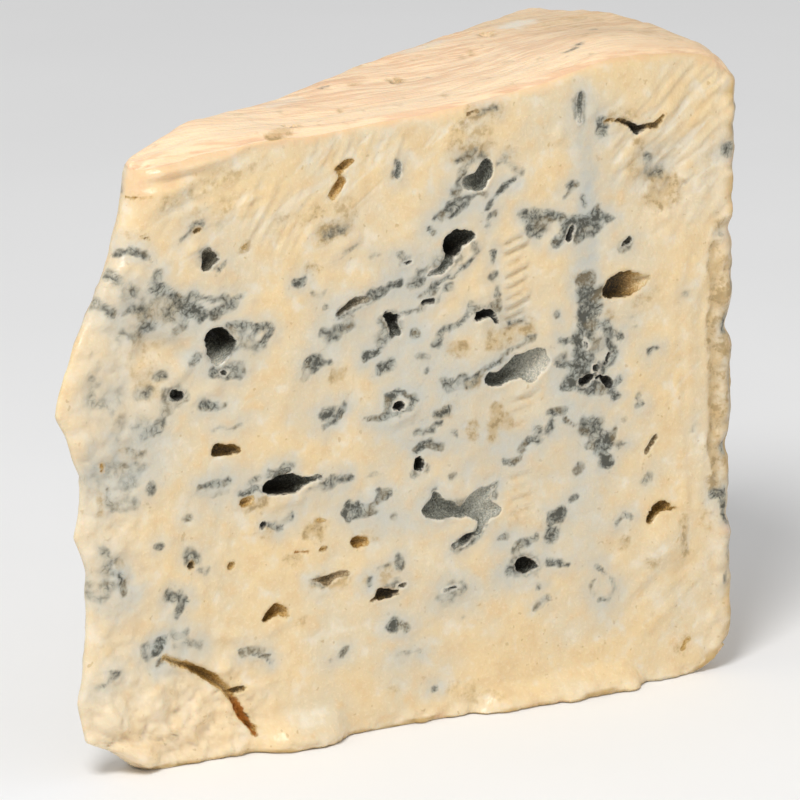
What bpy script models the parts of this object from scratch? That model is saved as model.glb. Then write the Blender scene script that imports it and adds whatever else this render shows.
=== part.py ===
"""A wedge of blue cheese: one sixteenth of a small wheel, standing on its flat base rind.

Metres, +Z up. The wheel's axis is at the thin tip of the wedge and its rim is at +X. The cut face
at -Y is the one with the named hollows, and its mirror at +Y is the other cut.
"""

import math
import random

import bmesh
import bpy
import numpy as np
from mathutils import Matrix, Vector, noise

MM = 0.001

# The wheel and the portion cut from it.
WHEEL_RADIUS = 100.0 * MM
PORTIONS = 16
HALF_ANGLE = math.pi / PORTIONS
TOP_MIDDLE = 82.0 * MM
TOP_RIM_RISE = 2.6 * MM
TOP_TIP_DROP = 2.6 * MM
TOP_SWELL = 2.2 * MM
TOP_BACK_RISE = 1.6 * MM
TOP_SHOULDER = 8.0 * MM
TOP_SHOULDER_BACK = 3.4 * MM
BASE_SHOULDER = 7.0 * MM

# The tip: pushed forward at mid height, broken away above and at the foot. Each pair is a height and
# the distance from the wheel's axis at which the cheese begins there, in mm.
NOSE_PROFILE = ((0.0, 10.2), (3.8, 5.2), (5.6, 1.6), (11.3, 0.8), (16.8, 1.6), (28.4, 3.1), (34.0, 0.9),
                (41.8, 1.2), (44.5, 0.2), (51.3, -1.2), (56.4, -0.2), (62.5, 2.6), (71.1, 7.6), (82.0, 10.6))
NOSE_ROUNDING = 3.2 * MM
NOSE_BLUNTNESS = 0.9 * MM
NOSE_RAGGEDNESS = 0.5 * MM

# Unevenness of the skin and of the cut.
WAVE_SIZE = 16.0 * MM
WAVE_DEPTH = 0.45 * MM
RIPPLE_SIZE = 6.0 * MM
RIPPLE_DEPTH = 0.25 * MM
EDGE_ROUNDING = 1.1 * MM

# How finely the skin is divided.
CELLS_ALONG = 24
CELLS_ACROSS = 8
CELLS_UP = 24
END_CROWDING = 0.45

# Hollows of the front cut: (along from the wheel's axis, height, width, tall, deep, tilt), in mm
# and degrees. A positive tilt climbs towards the rim.
LARGE_HOLLOWS = {
    "eye": (21.5, 55.6, 4.7, 5.1, 4.6, 0),
    "eye_wing": (26.0, 56.3, 6.2, 2.6, 1.0, 6),
    "comma": (57.4, 64.4, 5.0, 3.4, 3.8, 8),
    "comma_tail": (54.6, 61.6, 4.8, 2.4, 1.6, 40),
    "grey_pocket": (60.1, 73.1, 4.7, 4.2, 2.6, 30),
    "grey_lens": (66.2, 46.6, 9.6, 4.4, 1.9, 18),
    "long_cave": (33.6, 35.2, 8.0, 2.6, 3.8, 6),
    "bat_left": (55.0, 28.6, 7.4, 4.2, 1.6, -6),
    "bat_right": (60.6, 29.6, 5.8, 4.0, 1.4, 24),
    "ring_cave": (52.3, 35.8, 4.0, 3.6, 2.8, 10),
    "rim_eye": (82.6, 55.6, 6.6, 3.2, 2.4, 12),
    "cluster_cave": (70.4, 65.6, 5.4, 3.2, 1.7, -10),
    "scoop": (13.2, 56.1, 9.4, 4.6, 1.0, -14),
}
SMALL_HOLLOWS = {
    "tip_dot": (14.4, 50.2, 2.5, 1.8, 1.8, 0),
    "upper_dark": (20.1, 67.2, 2.6, 3.1, 2.2, 30),
    "tip_slit": (8.8, 69.5, 3.7, 1.3, 1.2, 5),
    "amber_low": (38.7, 73.4, 3.4, 1.7, 2.0, 62),
    "amber_high": (40.1, 76.1, 3.4, 1.4, 2.0, 18),
    "olive_pocket": (38.2, 68.0, 4.7, 2.2, 1.4, 20),
    "upright_slit": (48.3, 75.5, 1.1, 2.4, 1.4, -8),
    "slit_low": (41.3, 58.0, 5.2, 1.7, 1.8, 18),
    "slit_high": (47.3, 59.6, 2.4, 1.2, 1.4, 16),
    "branch": (47.3, 54.6, 3.9, 3.2, 2.2, 40),
    "arch": (61.4, 53.8, 4.3, 1.8, 2.6, -8),
    "track_hole": (76.9, 43.1, 2.5, 1.3, 2.2, 0),
    "track_side": (79.5, 42.5, 1.3, 1.7, 1.8, 0),
    "track_slit": (75.4, 80.0, 1.2, 4.7, 1.3, 0),
    "oval": (21.8, 41.4, 4.5, 1.5, 2.0, 2),
    "far_black": (67.8, 19.3, 4.3, 2.1, 2.6, 4),
    "low_slit": (38.6, 21.9, 6.8, 1.7, 1.6, 14),
    "low_slit_far": (45.8, 19.4, 4.6, 1.6, 1.9, 10),
    "brown_cave": (29.8, 18.6, 4.6, 2.4, 2.2, 14),
    "middle_pocket": (43.4, 30.8, 6.2, 2.2, 1.3, 8),
    "middle_dot": (47.9, 43.6, 2.4, 1.4, 1.5, 0),
    "rim_arch": (88.4, 24.2, 6.0, 1.6, 1.6, 24),
    "leaf": (56.4, 17.2, 4.3, 1.8, 0.9, 22),
    "hook": (58.1, 24.0, 4.6, 1.6, 1.1, 32),
    "rim_slit": (82.7, 61.1, 2.0, 1.2, 1.4, 10),
}

# Cracks of the front cut: the line they follow as (along, height), in mm, then width and depth.
CRACKS = {
    "amber_crack": (((12.8, 17.4), (15.6, 14.6), (18.4, 13.2), (20.6, 11.0), (23.0, 9.2), (24.6, 6.4),
                     (26.2, 3.6)), 1.5, 3.4),
    "shoulder_crack": (((78.8, 77.6), (81.4, 77.0), (83.0, 75.4), (84.6, 75.8), (87.2, 77.2)), 1.6, 3.0),
}

# Nicks where the rim rind tore along the front cut: (height, wide, tall, deep), in mm.
RIM_NICKS = ((74.4, 2.2, 3.0, 1.8), (61.0, 1.8, 2.2, 1.4), (46.8, 3.2, 4.4, 1.6), (31.2, 2.4, 2.6, 1.5),
             (21.6, 2.2, 3.4, 1.7))

# Radius of the unit lump that stands for a hollow, by how finely it is divided: a coarse one
# lies further inside its round form, so it starts larger.
HOLLOW_RADIUS = {1: 0.60, 2: 0.55}

# The other cut carries the same sort of hollows, scattered.
BACK_SEED = 11
BACK_HOLLOWS = 26
BACK_SPACING = 8.5
BACK_MARGIN = 9.0

# Openings of the piercing needle in the top rind: (along, across as a share of the half width).
NEEDLE_HOLES = ((34.0, -0.55), (58.0, 0.25), (79.0, 0.55))
NEEDLE_WIDTH = 1.8
NEEDLE_DEPTH = 3.5

PASTE_COLOUR = (0.80, 0.66, 0.43, 1.0)
PASTE_ROUGHNESS = 0.45


def clear_scene():
    """Removes everything the file opened with."""
    for thing in list(bpy.data.objects):
        bpy.data.objects.remove(thing, do_unlink=True)


def smooth(x):
    """Eases from 0 to 1 as x goes from 0 to 1."""
    x = min(max(x, 0.0), 1.0)
    return x * x * (3.0 - 2.0 * x)


def top_height(r, across):
    """Height of the top rind: sunk at the wheel's middle, swollen near the front of the rim."""
    height = TOP_MIDDLE
    height += TOP_RIM_RISE * smooth((r - 40 * MM) / (42 * MM))
    height -= TOP_TIP_DROP * (1.0 - smooth(r / (24 * MM)))
    swell = math.exp(-(((r - 83 * MM) / (11 * MM)) ** 2))
    height += TOP_SWELL * swell * smooth((0.3 - across) / 1.2)
    height += TOP_BACK_RISE * smooth((r - 66 * MM) / (26 * MM)) * (1.0 - across * across)
    return height


def top_shoulder(across):
    """Radius of the rim's top shoulder: wide at the front cut, tight towards the back."""
    return TOP_SHOULDER_BACK + (TOP_SHOULDER - TOP_SHOULDER_BACK) * smooth(-across)


def nose_distance(z):
    """Distance from the wheel's axis at which the broken tip begins."""
    heights = [pair[0] * MM for pair in NOSE_PROFILE]
    reaches = [pair[1] * MM for pair in NOSE_PROFILE]
    start = float(np.interp(z, heights, reaches))
    start += NOSE_RAGGEDNESS * noise.noise(Vector((3.1, 0.0, z / (7.5 * MM))))
    return start


def crowded(i, cells):
    """Share of the way at line i of a division that is finer at both ends."""
    share = i / cells
    eased = 0.5 - 0.5 * math.cos(math.pi * share)
    return share + (eased - share) * END_CROWDING


def round_shoulder(r, z, rim, top, shoulder):
    """Turns the square corners of the rim into the wheel's rounded shoulders."""
    for radius, centre_z, way in ((shoulder, top - shoulder, 1.0),
                                  (BASE_SHOULDER, BASE_SHOULDER, -1.0)):
        dr = r - (rim - radius)
        dz = (z - centre_z) * way
        if dr > 0.0 and dz > 0.0:
            reach = max(dr, dz)
            length = math.hypot(dr, dz)
            r = rim - radius + dr / length * reach
            z = centre_z + dz / length * reach * way
    return r, z


def uneven(point, on_base):
    """Moves a point of the skin by the gentle unevenness of the cheese."""
    near_tip = 1.0 + 2.0 * math.exp(-max(point.x, 0.0) / (8 * MM))
    shift = noise.noise_vector(point / WAVE_SIZE) * WAVE_DEPTH
    shift += noise.noise_vector(point / RIPPLE_SIZE + Vector((9, 4, 2))) * RIPPLE_DEPTH * near_tip
    if on_base:
        shift.z = 0.0
    return point + shift


def wedge_point(i, j, k):
    """Position of one grid corner: i from tip to rim, j from front cut to back cut, k from base up."""
    across = 2.0 * crowded(j, CELLS_ACROSS) - 1.0
    up = crowded(k, CELLS_UP)
    along = crowded(i, CELLS_ALONG)
    start = nose_distance(up * TOP_MIDDLE)
    r = start + (WHEEL_RADIUS - start) * along
    top = top_height(r, across)
    z = top * up
    beyond = r - start
    r, z = round_shoulder(r, z, WHEEL_RADIUS, top, top_shoulder(across))
    share = min(beyond / NOSE_ROUNDING, 1.0)
    narrowing = math.sqrt(1.0 - (1.0 - share) ** 2)
    angle = across * HALF_ANGLE
    x = r * math.cos(angle)
    y = r * math.sin(angle)
    y += across * NOSE_BLUNTNESS * math.exp(-max(r, 0.0) / (12 * MM))
    return uneven(Vector((x, y * narrowing, z)), k == 0)


def skin_faces():
    """Index corners of every quad on the sides of the grid, with the name of the side."""
    ni, nj, nk = CELLS_ALONG, CELLS_ACROSS, CELLS_UP
    for i in range(ni):
        for k in range(nk):
            yield "cut", ((i, 0, k), (i + 1, 0, k), (i + 1, 0, k + 1), (i, 0, k + 1))
            yield "cut", ((i, nj, k), (i, nj, k + 1), (i + 1, nj, k + 1), (i + 1, nj, k))
        for j in range(nj):
            yield "base", ((i, j, 0), (i, j + 1, 0), (i + 1, j + 1, 0), (i + 1, j, 0))
            yield "top", ((i, j, nk), (i + 1, j, nk), (i + 1, j + 1, nk), (i, j + 1, nk))
    for j in range(nj):
        for k in range(nk):
            yield "rim", ((ni, j, k), (ni, j + 1, k), (ni, j + 1, k + 1), (ni, j, k + 1))


def build_wedge(collection, material):
    """The plain wedge, before any hollow is taken out of it."""
    bm = bmesh.new()
    corners = {}
    side_layer = bm.faces.layers.int.new("is_cut")
    for side, quad in skin_faces():
        # The two cuts meet in one ridge at the tip, so every line across it is a single corner.
        ring = list(dict.fromkeys((i, j if i else 0, k) for i, j, k in quad))
        for index in ring:
            if index not in corners:
                corners[index] = bm.verts.new(wedge_point(*index))
        face = bm.faces.new([corners[index] for index in ring])
        face[side_layer] = 1 if side == "cut" else 0
    bmesh.ops.recalc_face_normals(bm, faces=bm.faces)
    weight = bm.edges.layers.float.new("bevel_weight_edge")
    for edge in bm.edges:
        sides = {face[side_layer] for face in edge.link_faces}
        far_from_tip = min(v.co.x for v in edge.verts) > 14 * MM
        edge[weight] = 1.0 if len(sides) == 2 and far_from_tip else 0.0
    mesh = bpy.data.meshes.new("cheese_wedge")
    bm.to_mesh(mesh)
    bm.free()
    mesh.materials.append(material)
    wedge = bpy.data.objects.new("cheese_wedge", mesh)
    collection.objects.link(wedge)
    bevel = wedge.modifiers.new("knife_edge_rounding", "BEVEL")
    bevel.width = EDGE_ROUNDING
    bevel.segments = 2
    bevel.limit_method = "WEIGHT"
    wedge.modifiers.new("flat_facets", "TRIANGULATE")
    return wedge


def cut_frame(side):
    """Directions of a cut face: along it from the axis, up it, and out of it. side is -1 or +1."""
    along = Vector((math.cos(HALF_ANGLE), side * math.sin(HALF_ANGLE), 0.0))
    up = Vector((0.0, 0.0, 1.0))
    out = Vector((-math.sin(HALF_ANGLE), side * math.cos(HALF_ANGLE), 0.0))
    return along, up, out


def add_hollow(bm, side, sizes, divisions, seed):
    """Adds the lumpy lens that cuts one hollow, centred on the cut face."""
    s, z, width, tall, deep, tilt = sizes
    along, up, out = cut_frame(side)
    turn = math.radians(tilt)
    wide_way = along * math.cos(turn) + up * math.sin(turn)
    tall_way = up * math.cos(turn) - along * math.sin(turn)
    centre = along * (s * MM) + up * (z * MM)
    made = bmesh.ops.create_icosphere(bm, subdivisions=divisions, radius=HOLLOW_RADIUS[divisions])
    for vert in made["verts"]:
        p = vert.co.copy()
        lump = 1.0 + 0.42 * noise.noise(p * 2.6 + Vector((seed * 1.7, seed * 0.9, 0.0)))
        p *= lump
        offset = wide_way * (p.x * width) + tall_way * (p.z * tall) + out * (p.y * 2.0 * deep)
        vert.co = centre + offset * MM


def add_crack(bm, side, line, width, deep):
    """Adds a jagged, V-shaped sliver along a line on the cut face, thin at both ends."""
    along, up, out = cut_frame(side)
    points = [along * (s * MM) + up * (z * MM) for s, z in line]
    last = len(points) - 1
    rings = []
    for n, point in enumerate(points):
        heading = (points[min(n + 1, last)] - points[max(n - 1, 0)]).normalized()
        across = heading.cross(out)
        swell = math.sin(math.pi * (n + 0.35) / (last + 0.7))
        half = 0.5 * width * MM * max(swell, 0.25)
        floor = -deep * MM * max(swell, 0.3)
        lip = out * (1.2 * MM)
        ring = [point + lip + across * half * 1.5, point + across * half, point + out * floor,
                point - across * half, point + lip - across * half * 1.5]
        rings.append([bm.verts.new(p) for p in ring])
    for a, b in zip(rings, rings[1:]):
        for n in range(5):
            m = (n + 1) % 5
            bm.faces.new((a[n], a[m], b[m], b[n]))
    bm.faces.new(rings[0][::-1])
    bm.faces.new(rings[-1])


def scattered_hollows():
    """Hollows of the back cut: lens shapes lying near level, kept apart from one another."""
    rng = random.Random(BACK_SEED)
    found = []
    tries = 0
    while len(found) < BACK_HOLLOWS and tries < 4000:
        tries += 1
        s = rng.uniform(14.0, WHEEL_RADIUS / MM - BACK_MARGIN)
        z = rng.uniform(BACK_MARGIN, TOP_MIDDLE / MM - BACK_MARGIN)
        if any(math.hypot(s - other[0], (z - other[1]) * 1.25) < BACK_SPACING for other in found):
            continue
        width = rng.uniform(2.4, 4.6) * (1.0 + 0.9 * rng.random() ** 4)
        tall = width * rng.uniform(0.4, 0.75)
        found.append((s, z, width, tall, rng.uniform(1.2, 2.8), rng.uniform(-12.0, 26.0)))
    return found


def add_needle_hole(bm, r, across):
    """Adds the slightly tapered pin that opens one needle hole in the top rind."""
    angle = across * HALF_ANGLE
    top = top_height(r * MM, across)
    centre = Vector((r * MM * math.cos(angle), r * MM * math.sin(angle), top))
    length = 2.0 * NEEDLE_DEPTH * MM
    bmesh.ops.create_cone(bm, cap_ends=True, segments=9, radius1=NEEDLE_WIDTH * 0.3 * MM,
                          radius2=NEEDLE_WIDTH * 0.7 * MM, depth=length,
                          matrix=Matrix.Translation(centre))


def cutter_object(name, bm, collection):
    """Stores a cutter as an object of the cutters' collection."""
    bmesh.ops.triangulate(bm, faces=bm.faces)
    bmesh.ops.recalc_face_normals(bm, faces=bm.faces)
    mesh = bpy.data.meshes.new(name)
    bm.to_mesh(mesh)
    bm.free()
    cutter = bpy.data.objects.new(name, mesh)
    collection.objects.link(cutter)
    cutter.hide_render = True
    cutter.display_type = "WIRE"
    return cutter


def cut_with(wedge, cutter):
    """Takes a cutter's volume out of the wedge."""
    cut = wedge.modifiers.new(cutter.name, "BOOLEAN")
    cut.operation = "DIFFERENCE"
    cut.solver = "EXACT"
    cut.use_self = True
    cut.object = cutter


def drop_crumbs(mesh):
    """Keeps the largest body, and drops the crumbs that crossing hollows set free."""
    bm = bmesh.new()
    bm.from_mesh(mesh)
    waiting = set(bm.verts)
    bodies = []
    while waiting:
        body = {waiting.pop()}
        edge_of_body = list(body)
        while edge_of_body:
            vert = edge_of_body.pop()
            for edge in vert.link_edges:
                other = edge.other_vert(vert)
                if other in waiting:
                    waiting.remove(other)
                    body.add(other)
                    edge_of_body.append(other)
        bodies.append(body)
    bodies.sort(key=len)
    for crumb in bodies[:-1]:
        bmesh.ops.delete(bm, geom=list(crumb), context="VERTS")
    bm.to_mesh(mesh)
    bm.free()


def settle(wedge):
    """Applies the modifiers and sets the wedge down with the middle of its base at the origin."""
    depsgraph = bpy.context.evaluated_depsgraph_get()
    mesh = bpy.data.meshes.new_from_object(wedge.evaluated_get(depsgraph))
    wedge.modifiers.clear()
    drop_crumbs(mesh)
    wedge.data = mesh
    mesh.name = "cheese_wedge"
    low = [min(v.co[axis] for v in mesh.vertices) for axis in range(3)]
    high = [max(v.co[axis] for v in mesh.vertices) for axis in range(3)]
    middle = Vector(((low[0] + high[0]) / 2, (low[1] + high[1]) / 2, low[2]))
    mesh.transform(Matrix.Translation(-middle))


def main():
    clear_scene()
    parts = bpy.data.collections.new("blue_cheese_wedge")
    cutters = bpy.data.collections.new("cutters")
    for collection in (parts, cutters):
        bpy.context.scene.collection.children.link(collection)
    cutters.hide_render = True

    paste = bpy.data.materials.new("blue_cheese_paste")
    paste.use_nodes = True
    shader = paste.node_tree.nodes["Principled BSDF"]
    shader.inputs["Base Color"].default_value = PASTE_COLOUR
    shader.inputs["Roughness"].default_value = PASTE_ROUGHNESS
    shader.inputs["Metallic"].default_value = 0.0
    wedge = build_wedge(parts, paste)

    bm = bmesh.new()
    for seed, sizes in enumerate(LARGE_HOLLOWS.values()):
        add_hollow(bm, -1, sizes, 2, seed)
    for seed, sizes in enumerate(SMALL_HOLLOWS.values()):
        add_hollow(bm, -1, sizes, 1, seed + 40)
    for seed, (z, wide, tall, deep) in enumerate(RIM_NICKS):
        add_hollow(bm, -1, (WHEEL_RADIUS / MM, z, wide, tall, deep, 0), 1, seed + 70)
    cut_with(wedge, cutter_object("front_hollows", bm, cutters))

    bm = bmesh.new()
    for line, width, deep in CRACKS.values():
        add_crack(bm, -1, line, width, deep)
    cut_with(wedge, cutter_object("front_cracks", bm, cutters))

    bm = bmesh.new()
    for seed, sizes in enumerate(scattered_hollows()):
        add_hollow(bm, 1, sizes, 1 if sizes[2] < 4.2 else 2, seed + 80)
    for r, across in NEEDLE_HOLES:
        add_needle_hole(bm, r, across)
    cut_with(wedge, cutter_object("back_hollows", bm, cutters))
    settle(wedge)


main()
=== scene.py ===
"""A wedge of blue cheese: the cut paste with its holes and mould, and the thin rind round it.

Metres, +Z up, standing on its flat base rind. The wheel's axis is at the thin tip and its rim is
at +X. The cut at -Y is the shown one, and its features are placed by their distance along the cut
from the wheel's axis and their height, both in millimetres.
"""

import math
import random

import bmesh
import bpy
import numpy as np
from mathutils import Matrix, Vector, noise


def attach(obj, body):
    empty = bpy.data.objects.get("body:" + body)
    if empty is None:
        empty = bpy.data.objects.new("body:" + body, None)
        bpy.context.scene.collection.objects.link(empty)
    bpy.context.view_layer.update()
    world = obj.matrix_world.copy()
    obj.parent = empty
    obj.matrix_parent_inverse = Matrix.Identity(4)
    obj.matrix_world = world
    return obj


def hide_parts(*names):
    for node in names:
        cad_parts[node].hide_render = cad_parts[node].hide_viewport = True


bl_info = {
    "name": "Blue cheese wedge",
    "version": (1, 0, 0),
    "blender": (4, 5, 0),
    "location": "3D View > Sidebar > Cheese",
    "description": "Builds a wedge of blue cheese and the studio it stands in",
    "category": "Add Mesh",
}

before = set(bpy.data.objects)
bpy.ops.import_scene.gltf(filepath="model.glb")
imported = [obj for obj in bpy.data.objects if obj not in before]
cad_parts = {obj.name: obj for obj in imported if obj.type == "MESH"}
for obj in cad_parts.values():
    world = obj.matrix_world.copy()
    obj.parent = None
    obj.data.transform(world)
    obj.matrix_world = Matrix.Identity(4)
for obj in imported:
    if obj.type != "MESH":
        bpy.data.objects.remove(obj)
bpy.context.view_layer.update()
CAD_NODE = "cheese_wedge"
MM = 0.001

# The wheel, as the solid has it to within a millimetre.
WHEEL_AXIS = (-49.65, -0.03)
HALF_ANGLE = math.pi / 16
TOP_MIDDLE = 82.0
TOP_RIM_RISE = 2.6
TOP_TIP_DROP = 2.6
TOP_SWELL = 2.2
TOP_BACK_RISE = 1.6
TOP_BACK_LIFT = 0.9
TOP_SHOULDER = 6.2
TOP_SHOULDER_BACK = 3.4
BASE_SHOULDER = 7.0
NOSE_PROFILE = ((0.0, 10.2), (3.8, 5.2), (5.6, 1.6), (11.3, 0.8), (16.8, 1.6), (28.4, 2.8), (34.0, 0.5),
                (41.8, 1.7), (44.5, 0.5), (51.3, -1.9), (56.4, -1.0), (62.5, 2.3), (71.1, 7.6), (82.0, 10.6))
NOSE_ROUNDING = 3.2
NOSE_BLUNTNESS = 0.9
NOSE_RAGGEDNESS = 0.5
WAVE_SIZE = 16.0
WAVE_DEPTH = 0.45
RIPPLE_SIZE = 6.0
RIPPLE_DEPTH = 0.25

# How finely the skin is divided. The back cut has every second line of the front cut.
CELLS_ALONG = 250
CELLS_ACROSS = 34
CELLS_UP = 212
EDGE_CROWDING = 0.72

BACK_SEED = 11
BACK_HOLLOWS = 26
BACK_SPACING = 8.5
BACK_MARGIN = 9.0
NEEDLE_HOLES = ((34.0, -0.55), (58.0, 0.25), (79.0, 0.55))

# Holes of the shown cut. An outline goes round the mouth as (along, height). Then come the depth,
# the tone of the lining where the hole is deepest and where it runs out (0 black, 1 pale), the way
# to the pale side in degrees, and how amber the lining is. The tones are partly the mould's own and
# partly painted shade and light: black where the hole is deep and shaded, pale where light falls in.
HOLES = {
    "eye": (((19.2, 56.5), (19.6, 57.6), (20.6, 58.1), (21.7, 58.0), (22.7, 57.3), (23.6, 56.1),
             (24.0, 55.5), (23.4, 55.2), (22.9, 54.3), (22.3, 53.7), (21.5, 53.1), (20.9, 53.0),
             (20.2, 53.7), (19.6, 55.0)), 4.4, 0.0, 0.85, -95, 0.0),
    "branch": (((45.5, 56.0), (46.4, 56.4), (47.8, 55.7), (49.3, 55.5), (48.1, 55.2), (48.0, 54.3),
                (48.7, 53.0), (47.6, 53.0), (47.1, 52.8), (46.9, 54.2), (46.4, 55.2)), 2.4, 0.02, 0.3, -80, 0.0),
    "arch": (((59.6, 53.9), (60.0, 54.5), (61.3, 54.8), (62.6, 54.4), (63.3, 53.5), (63.9, 52.1),
              (63.2, 52.5), (62.5, 53.5), (61.3, 53.7), (60.0, 53.2)), 2.8, 0.0, 0.1, -60, 0.0),
    "lens": (((61.3, 45.7), (61.7, 46.4), (63.5, 46.3), (65.1, 47.1), (65.5, 47.8), (66.9, 48.3),
              (68.3, 48.3), (69.4, 48.8), (70.4, 48.0), (71.0, 46.5), (70.1, 45.2), (68.3, 44.2),
              (67.0, 44.9), (65.9, 45.0), (64.7, 44.5), (63.0, 44.4), (61.9, 44.8)), 2.3, 0.34, 0.92, -25, 0.0),
    "black_dot": (((47.1, 43.3), (47.4, 44.0), (48.1, 44.2), (49.0, 43.7), (48.8, 43.2), (48.2, 42.9),
                   (47.8, 43.1), (47.5, 42.9)), 2.0, 0.0, 0.0, 0, 0.0),
    "kite": (((50.2, 35.2), (51.3, 36.5), (52.1, 35.3), (51.9, 34.5), (51.2, 34.1)), 2.6, 0.02, 0.2, -120, 0.0),
    "bat": (((51.5, 29.1), (51.9, 29.9), (52.9, 30.4), (53.2, 31.7), (54.0, 31.3), (54.7, 30.2),
             (56.3, 29.9), (57.2, 28.9), (58.1, 29.4), (58.8, 30.5), (59.9, 31.0), (62.9, 31.3),
             (62.1, 30.0), (61.8, 28.9), (63.8, 27.8), (63.6, 26.7), (61.6, 26.2), (61.1, 25.2),
             (60.4, 24.4), (60.0, 24.9), (60.4, 26.2), (59.2, 27.2), (56.6, 27.4), (55.3, 27.9),
             (54.3, 27.4), (52.3, 28.1)), 1.2, 0.44, 0.80, 25, 0.0),
    "hook": (((56.9, 24.2), (58.2, 24.8), (60.4, 25.0), (59.5, 24.3), (58.6, 23.5), (57.4, 23.3)),
             1.3, 0.1, 0.5, 200, 0.0),
    "diamond": (((65.7, 19.7), (66.6, 20.5), (68.0, 20.3), (69.9, 18.9), (68.5, 18.7), (67.3, 18.2),
                 (66.3, 18.8)), 2.6, 0.02, 0.22, -60, 0.0),
    "cave": (((27.8, 35.7), (28.4, 36.3), (29.6, 36.7), (31.4, 36.9), (32.6, 36.7), (33.7, 36.3),
              (34.7, 36.2), (36.5, 36.2), (37.4, 35.4), (36.2, 35.5), (35.0, 35.3), (33.7, 34.8),
              (32.8, 34.3), (30.3, 34.2), (29.1, 34.2), (28.4, 34.8)), 3.8, 0.0, 0.6, 4, 0.1),
    "cave_lip": (((28.8, 37.3), (31.9, 37.9), (32.3, 37.4), (30.9, 37.0), (29.8, 37.0)), 0.7, 0.5, 0.7, 0, 0.1),
    "oval": (((20.0, 40.9), (20.2, 42.2), (21.5, 42.4), (23.2, 42.1), (24.4, 41.5), (24.4, 40.8),
              (23.6, 40.5), (22.2, 40.6), (20.7, 40.7)), 1.6, 0.12, 0.45, 60, 0.95),
    "tip_hole": (((13.9, 50.1), (14.2, 50.8), (14.9, 50.7), (16.2, 50.0), (16.0, 49.5), (15.2, 49.2),
                  (14.5, 49.3), (13.9, 49.6)), 1.9, 0.0, 0.9, 190, 0.0),
    "amber_slot": (((37.8, 76.7), (38.9, 77.0), (40.5, 77.5), (41.6, 77.2), (40.5, 76.6), (39.3, 76.0),
                    (39.6, 75.2), (40.1, 74.8), (39.6, 74.0), (38.8, 72.9), (38.2, 72.2), (37.2, 73.1),
                    (37.8, 74.1), (38.9, 75.1), (38.9, 75.9)), 1.5, 0.6, 0.8, 180, 1.0),
    "grey_pocket": (((57.8, 72.6), (58.5, 73.3), (59.8, 73.4), (60.4, 74.5), (61.5, 75.4), (62.2, 74.5),
                     (62.4, 72.9), (61.6, 71.9), (61.1, 70.9), (60.1, 70.7), (58.6, 71.2),
                     (57.9, 71.9)), 1.7, 0.36, 0.62, 190, 0.0),
    "comma": (((54.6, 64.7), (55.3, 65.6), (56.7, 66.0), (58.3, 65.8), (59.6, 65.2), (59.8, 64.5),
               (58.8, 64.0), (57.8, 63.6), (57.1, 62.8), (56.5, 62.2), (55.4, 61.9), (55.2, 63.0)),
              3.6, 0.0, 0.25, 10, 0.0),
    "comma_tail": (((55.4, 62.6), (56.6, 62.4), (56.1, 61.2), (55.0, 60.4), (53.9, 60.1), (52.6, 60.2),
                    (52.9, 60.8), (54.2, 61.2), (54.7, 62.0)), 1.2, 0.4, 0.75, 215, 0.0),
    "rim_eye": (((79.3, 54.5), (79.5, 55.9), (80.2, 56.6), (81.6, 57.0), (83.2, 57.2), (84.5, 56.6),
                 (86.9, 56.0), (85.9, 55.2), (84.5, 54.5), (83.2, 54.0), (81.9, 53.9), (80.3, 54.1)),
                2.2, 0.04, 1.08, 0, 0.70),
    "rim_arch": (((86.0, 22.6), (86.4, 23.7), (87.2, 24.8), (88.1, 25.3), (89.0, 25.0), (90.3, 24.2),
                  (92.2, 23.4), (90.6, 23.6), (88.9, 23.8), (87.6, 23.3), (86.6, 22.0)),
                 2.0, 0.36, 0.6, 20, 0.9),
    "brown_cave": (((27.6, 17.7), (28.2, 18.9), (29.4, 19.8), (30.3, 19.6), (31.6, 19.2), (31.8, 18.4),
                    (31.6, 17.8), (30.8, 17.9), (30.0, 18.3), (28.7, 17.8)), 2.0, 0.40, 0.75, 10, 1.0),
    "dark_cave": (((18.9, 68.5), (19.8, 68.9), (20.5, 68.4), (20.9, 67.6), (21.4, 66.9), (20.6, 66.4),
                   (20.0, 65.9), (18.7, 65.6), (19.0, 66.6), (19.1, 67.6)), 1.8, 0.30, 0.66, 100, 0.22),
    "right_slot": (((82.0, 61.0), (82.9, 61.6), (83.5, 61.7), (83.7, 61.1), (83.0, 60.7), (82.2, 60.4)),
                   1.5, 0.1, 0.3, 180, 0.2),
    "low_slot": (((35.0, 22.3), (37.5, 22.7), (40.1, 23.1), (41.0, 22.6), (40.7, 22.1), (38.8, 22.1),
                  (38.1, 21.4), (37.0, 21.3), (36.2, 22.0)), 1.0, 0.38, 0.62, 20, 0.5),
    "low_slot_far": (((42.9, 18.1), (44.3, 18.7), (44.6, 19.7), (45.4, 19.8), (47.3, 19.1), (48.5, 18.6),
                      (46.3, 18.3), (44.6, 18.2)), 1.9, 0.0, 0.35, 190, 0.6),
    "long_slot": (((38.5, 57.1), (39.7, 58.1), (41.0, 59.0), (43.0, 58.8), (43.9, 58.4), (43.4, 57.9),
                   (41.7, 57.8), (40.5, 57.4), (38.9, 56.9)), 1.2, 0.32, 0.6, 0, 0.3),
    "track_left": (((75.1, 43.2), (76.1, 43.7), (77.1, 44.1), (77.7, 44.2), (77.3, 43.2), (76.6, 42.5),
                    (75.8, 42.5)), 2.0, 0.02, 0.45, 200, 0.0),
    "track_right": (((77.5, 44.3), (79.0, 43.6), (80.2, 43.3), (80.7, 42.7), (80.7, 41.7), (79.8, 41.8),
                     (79.3, 42.5), (78.8, 43.1), (77.5, 43.8)), 2.4, 0.0, 0.05, 0, 0.0),
}
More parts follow.
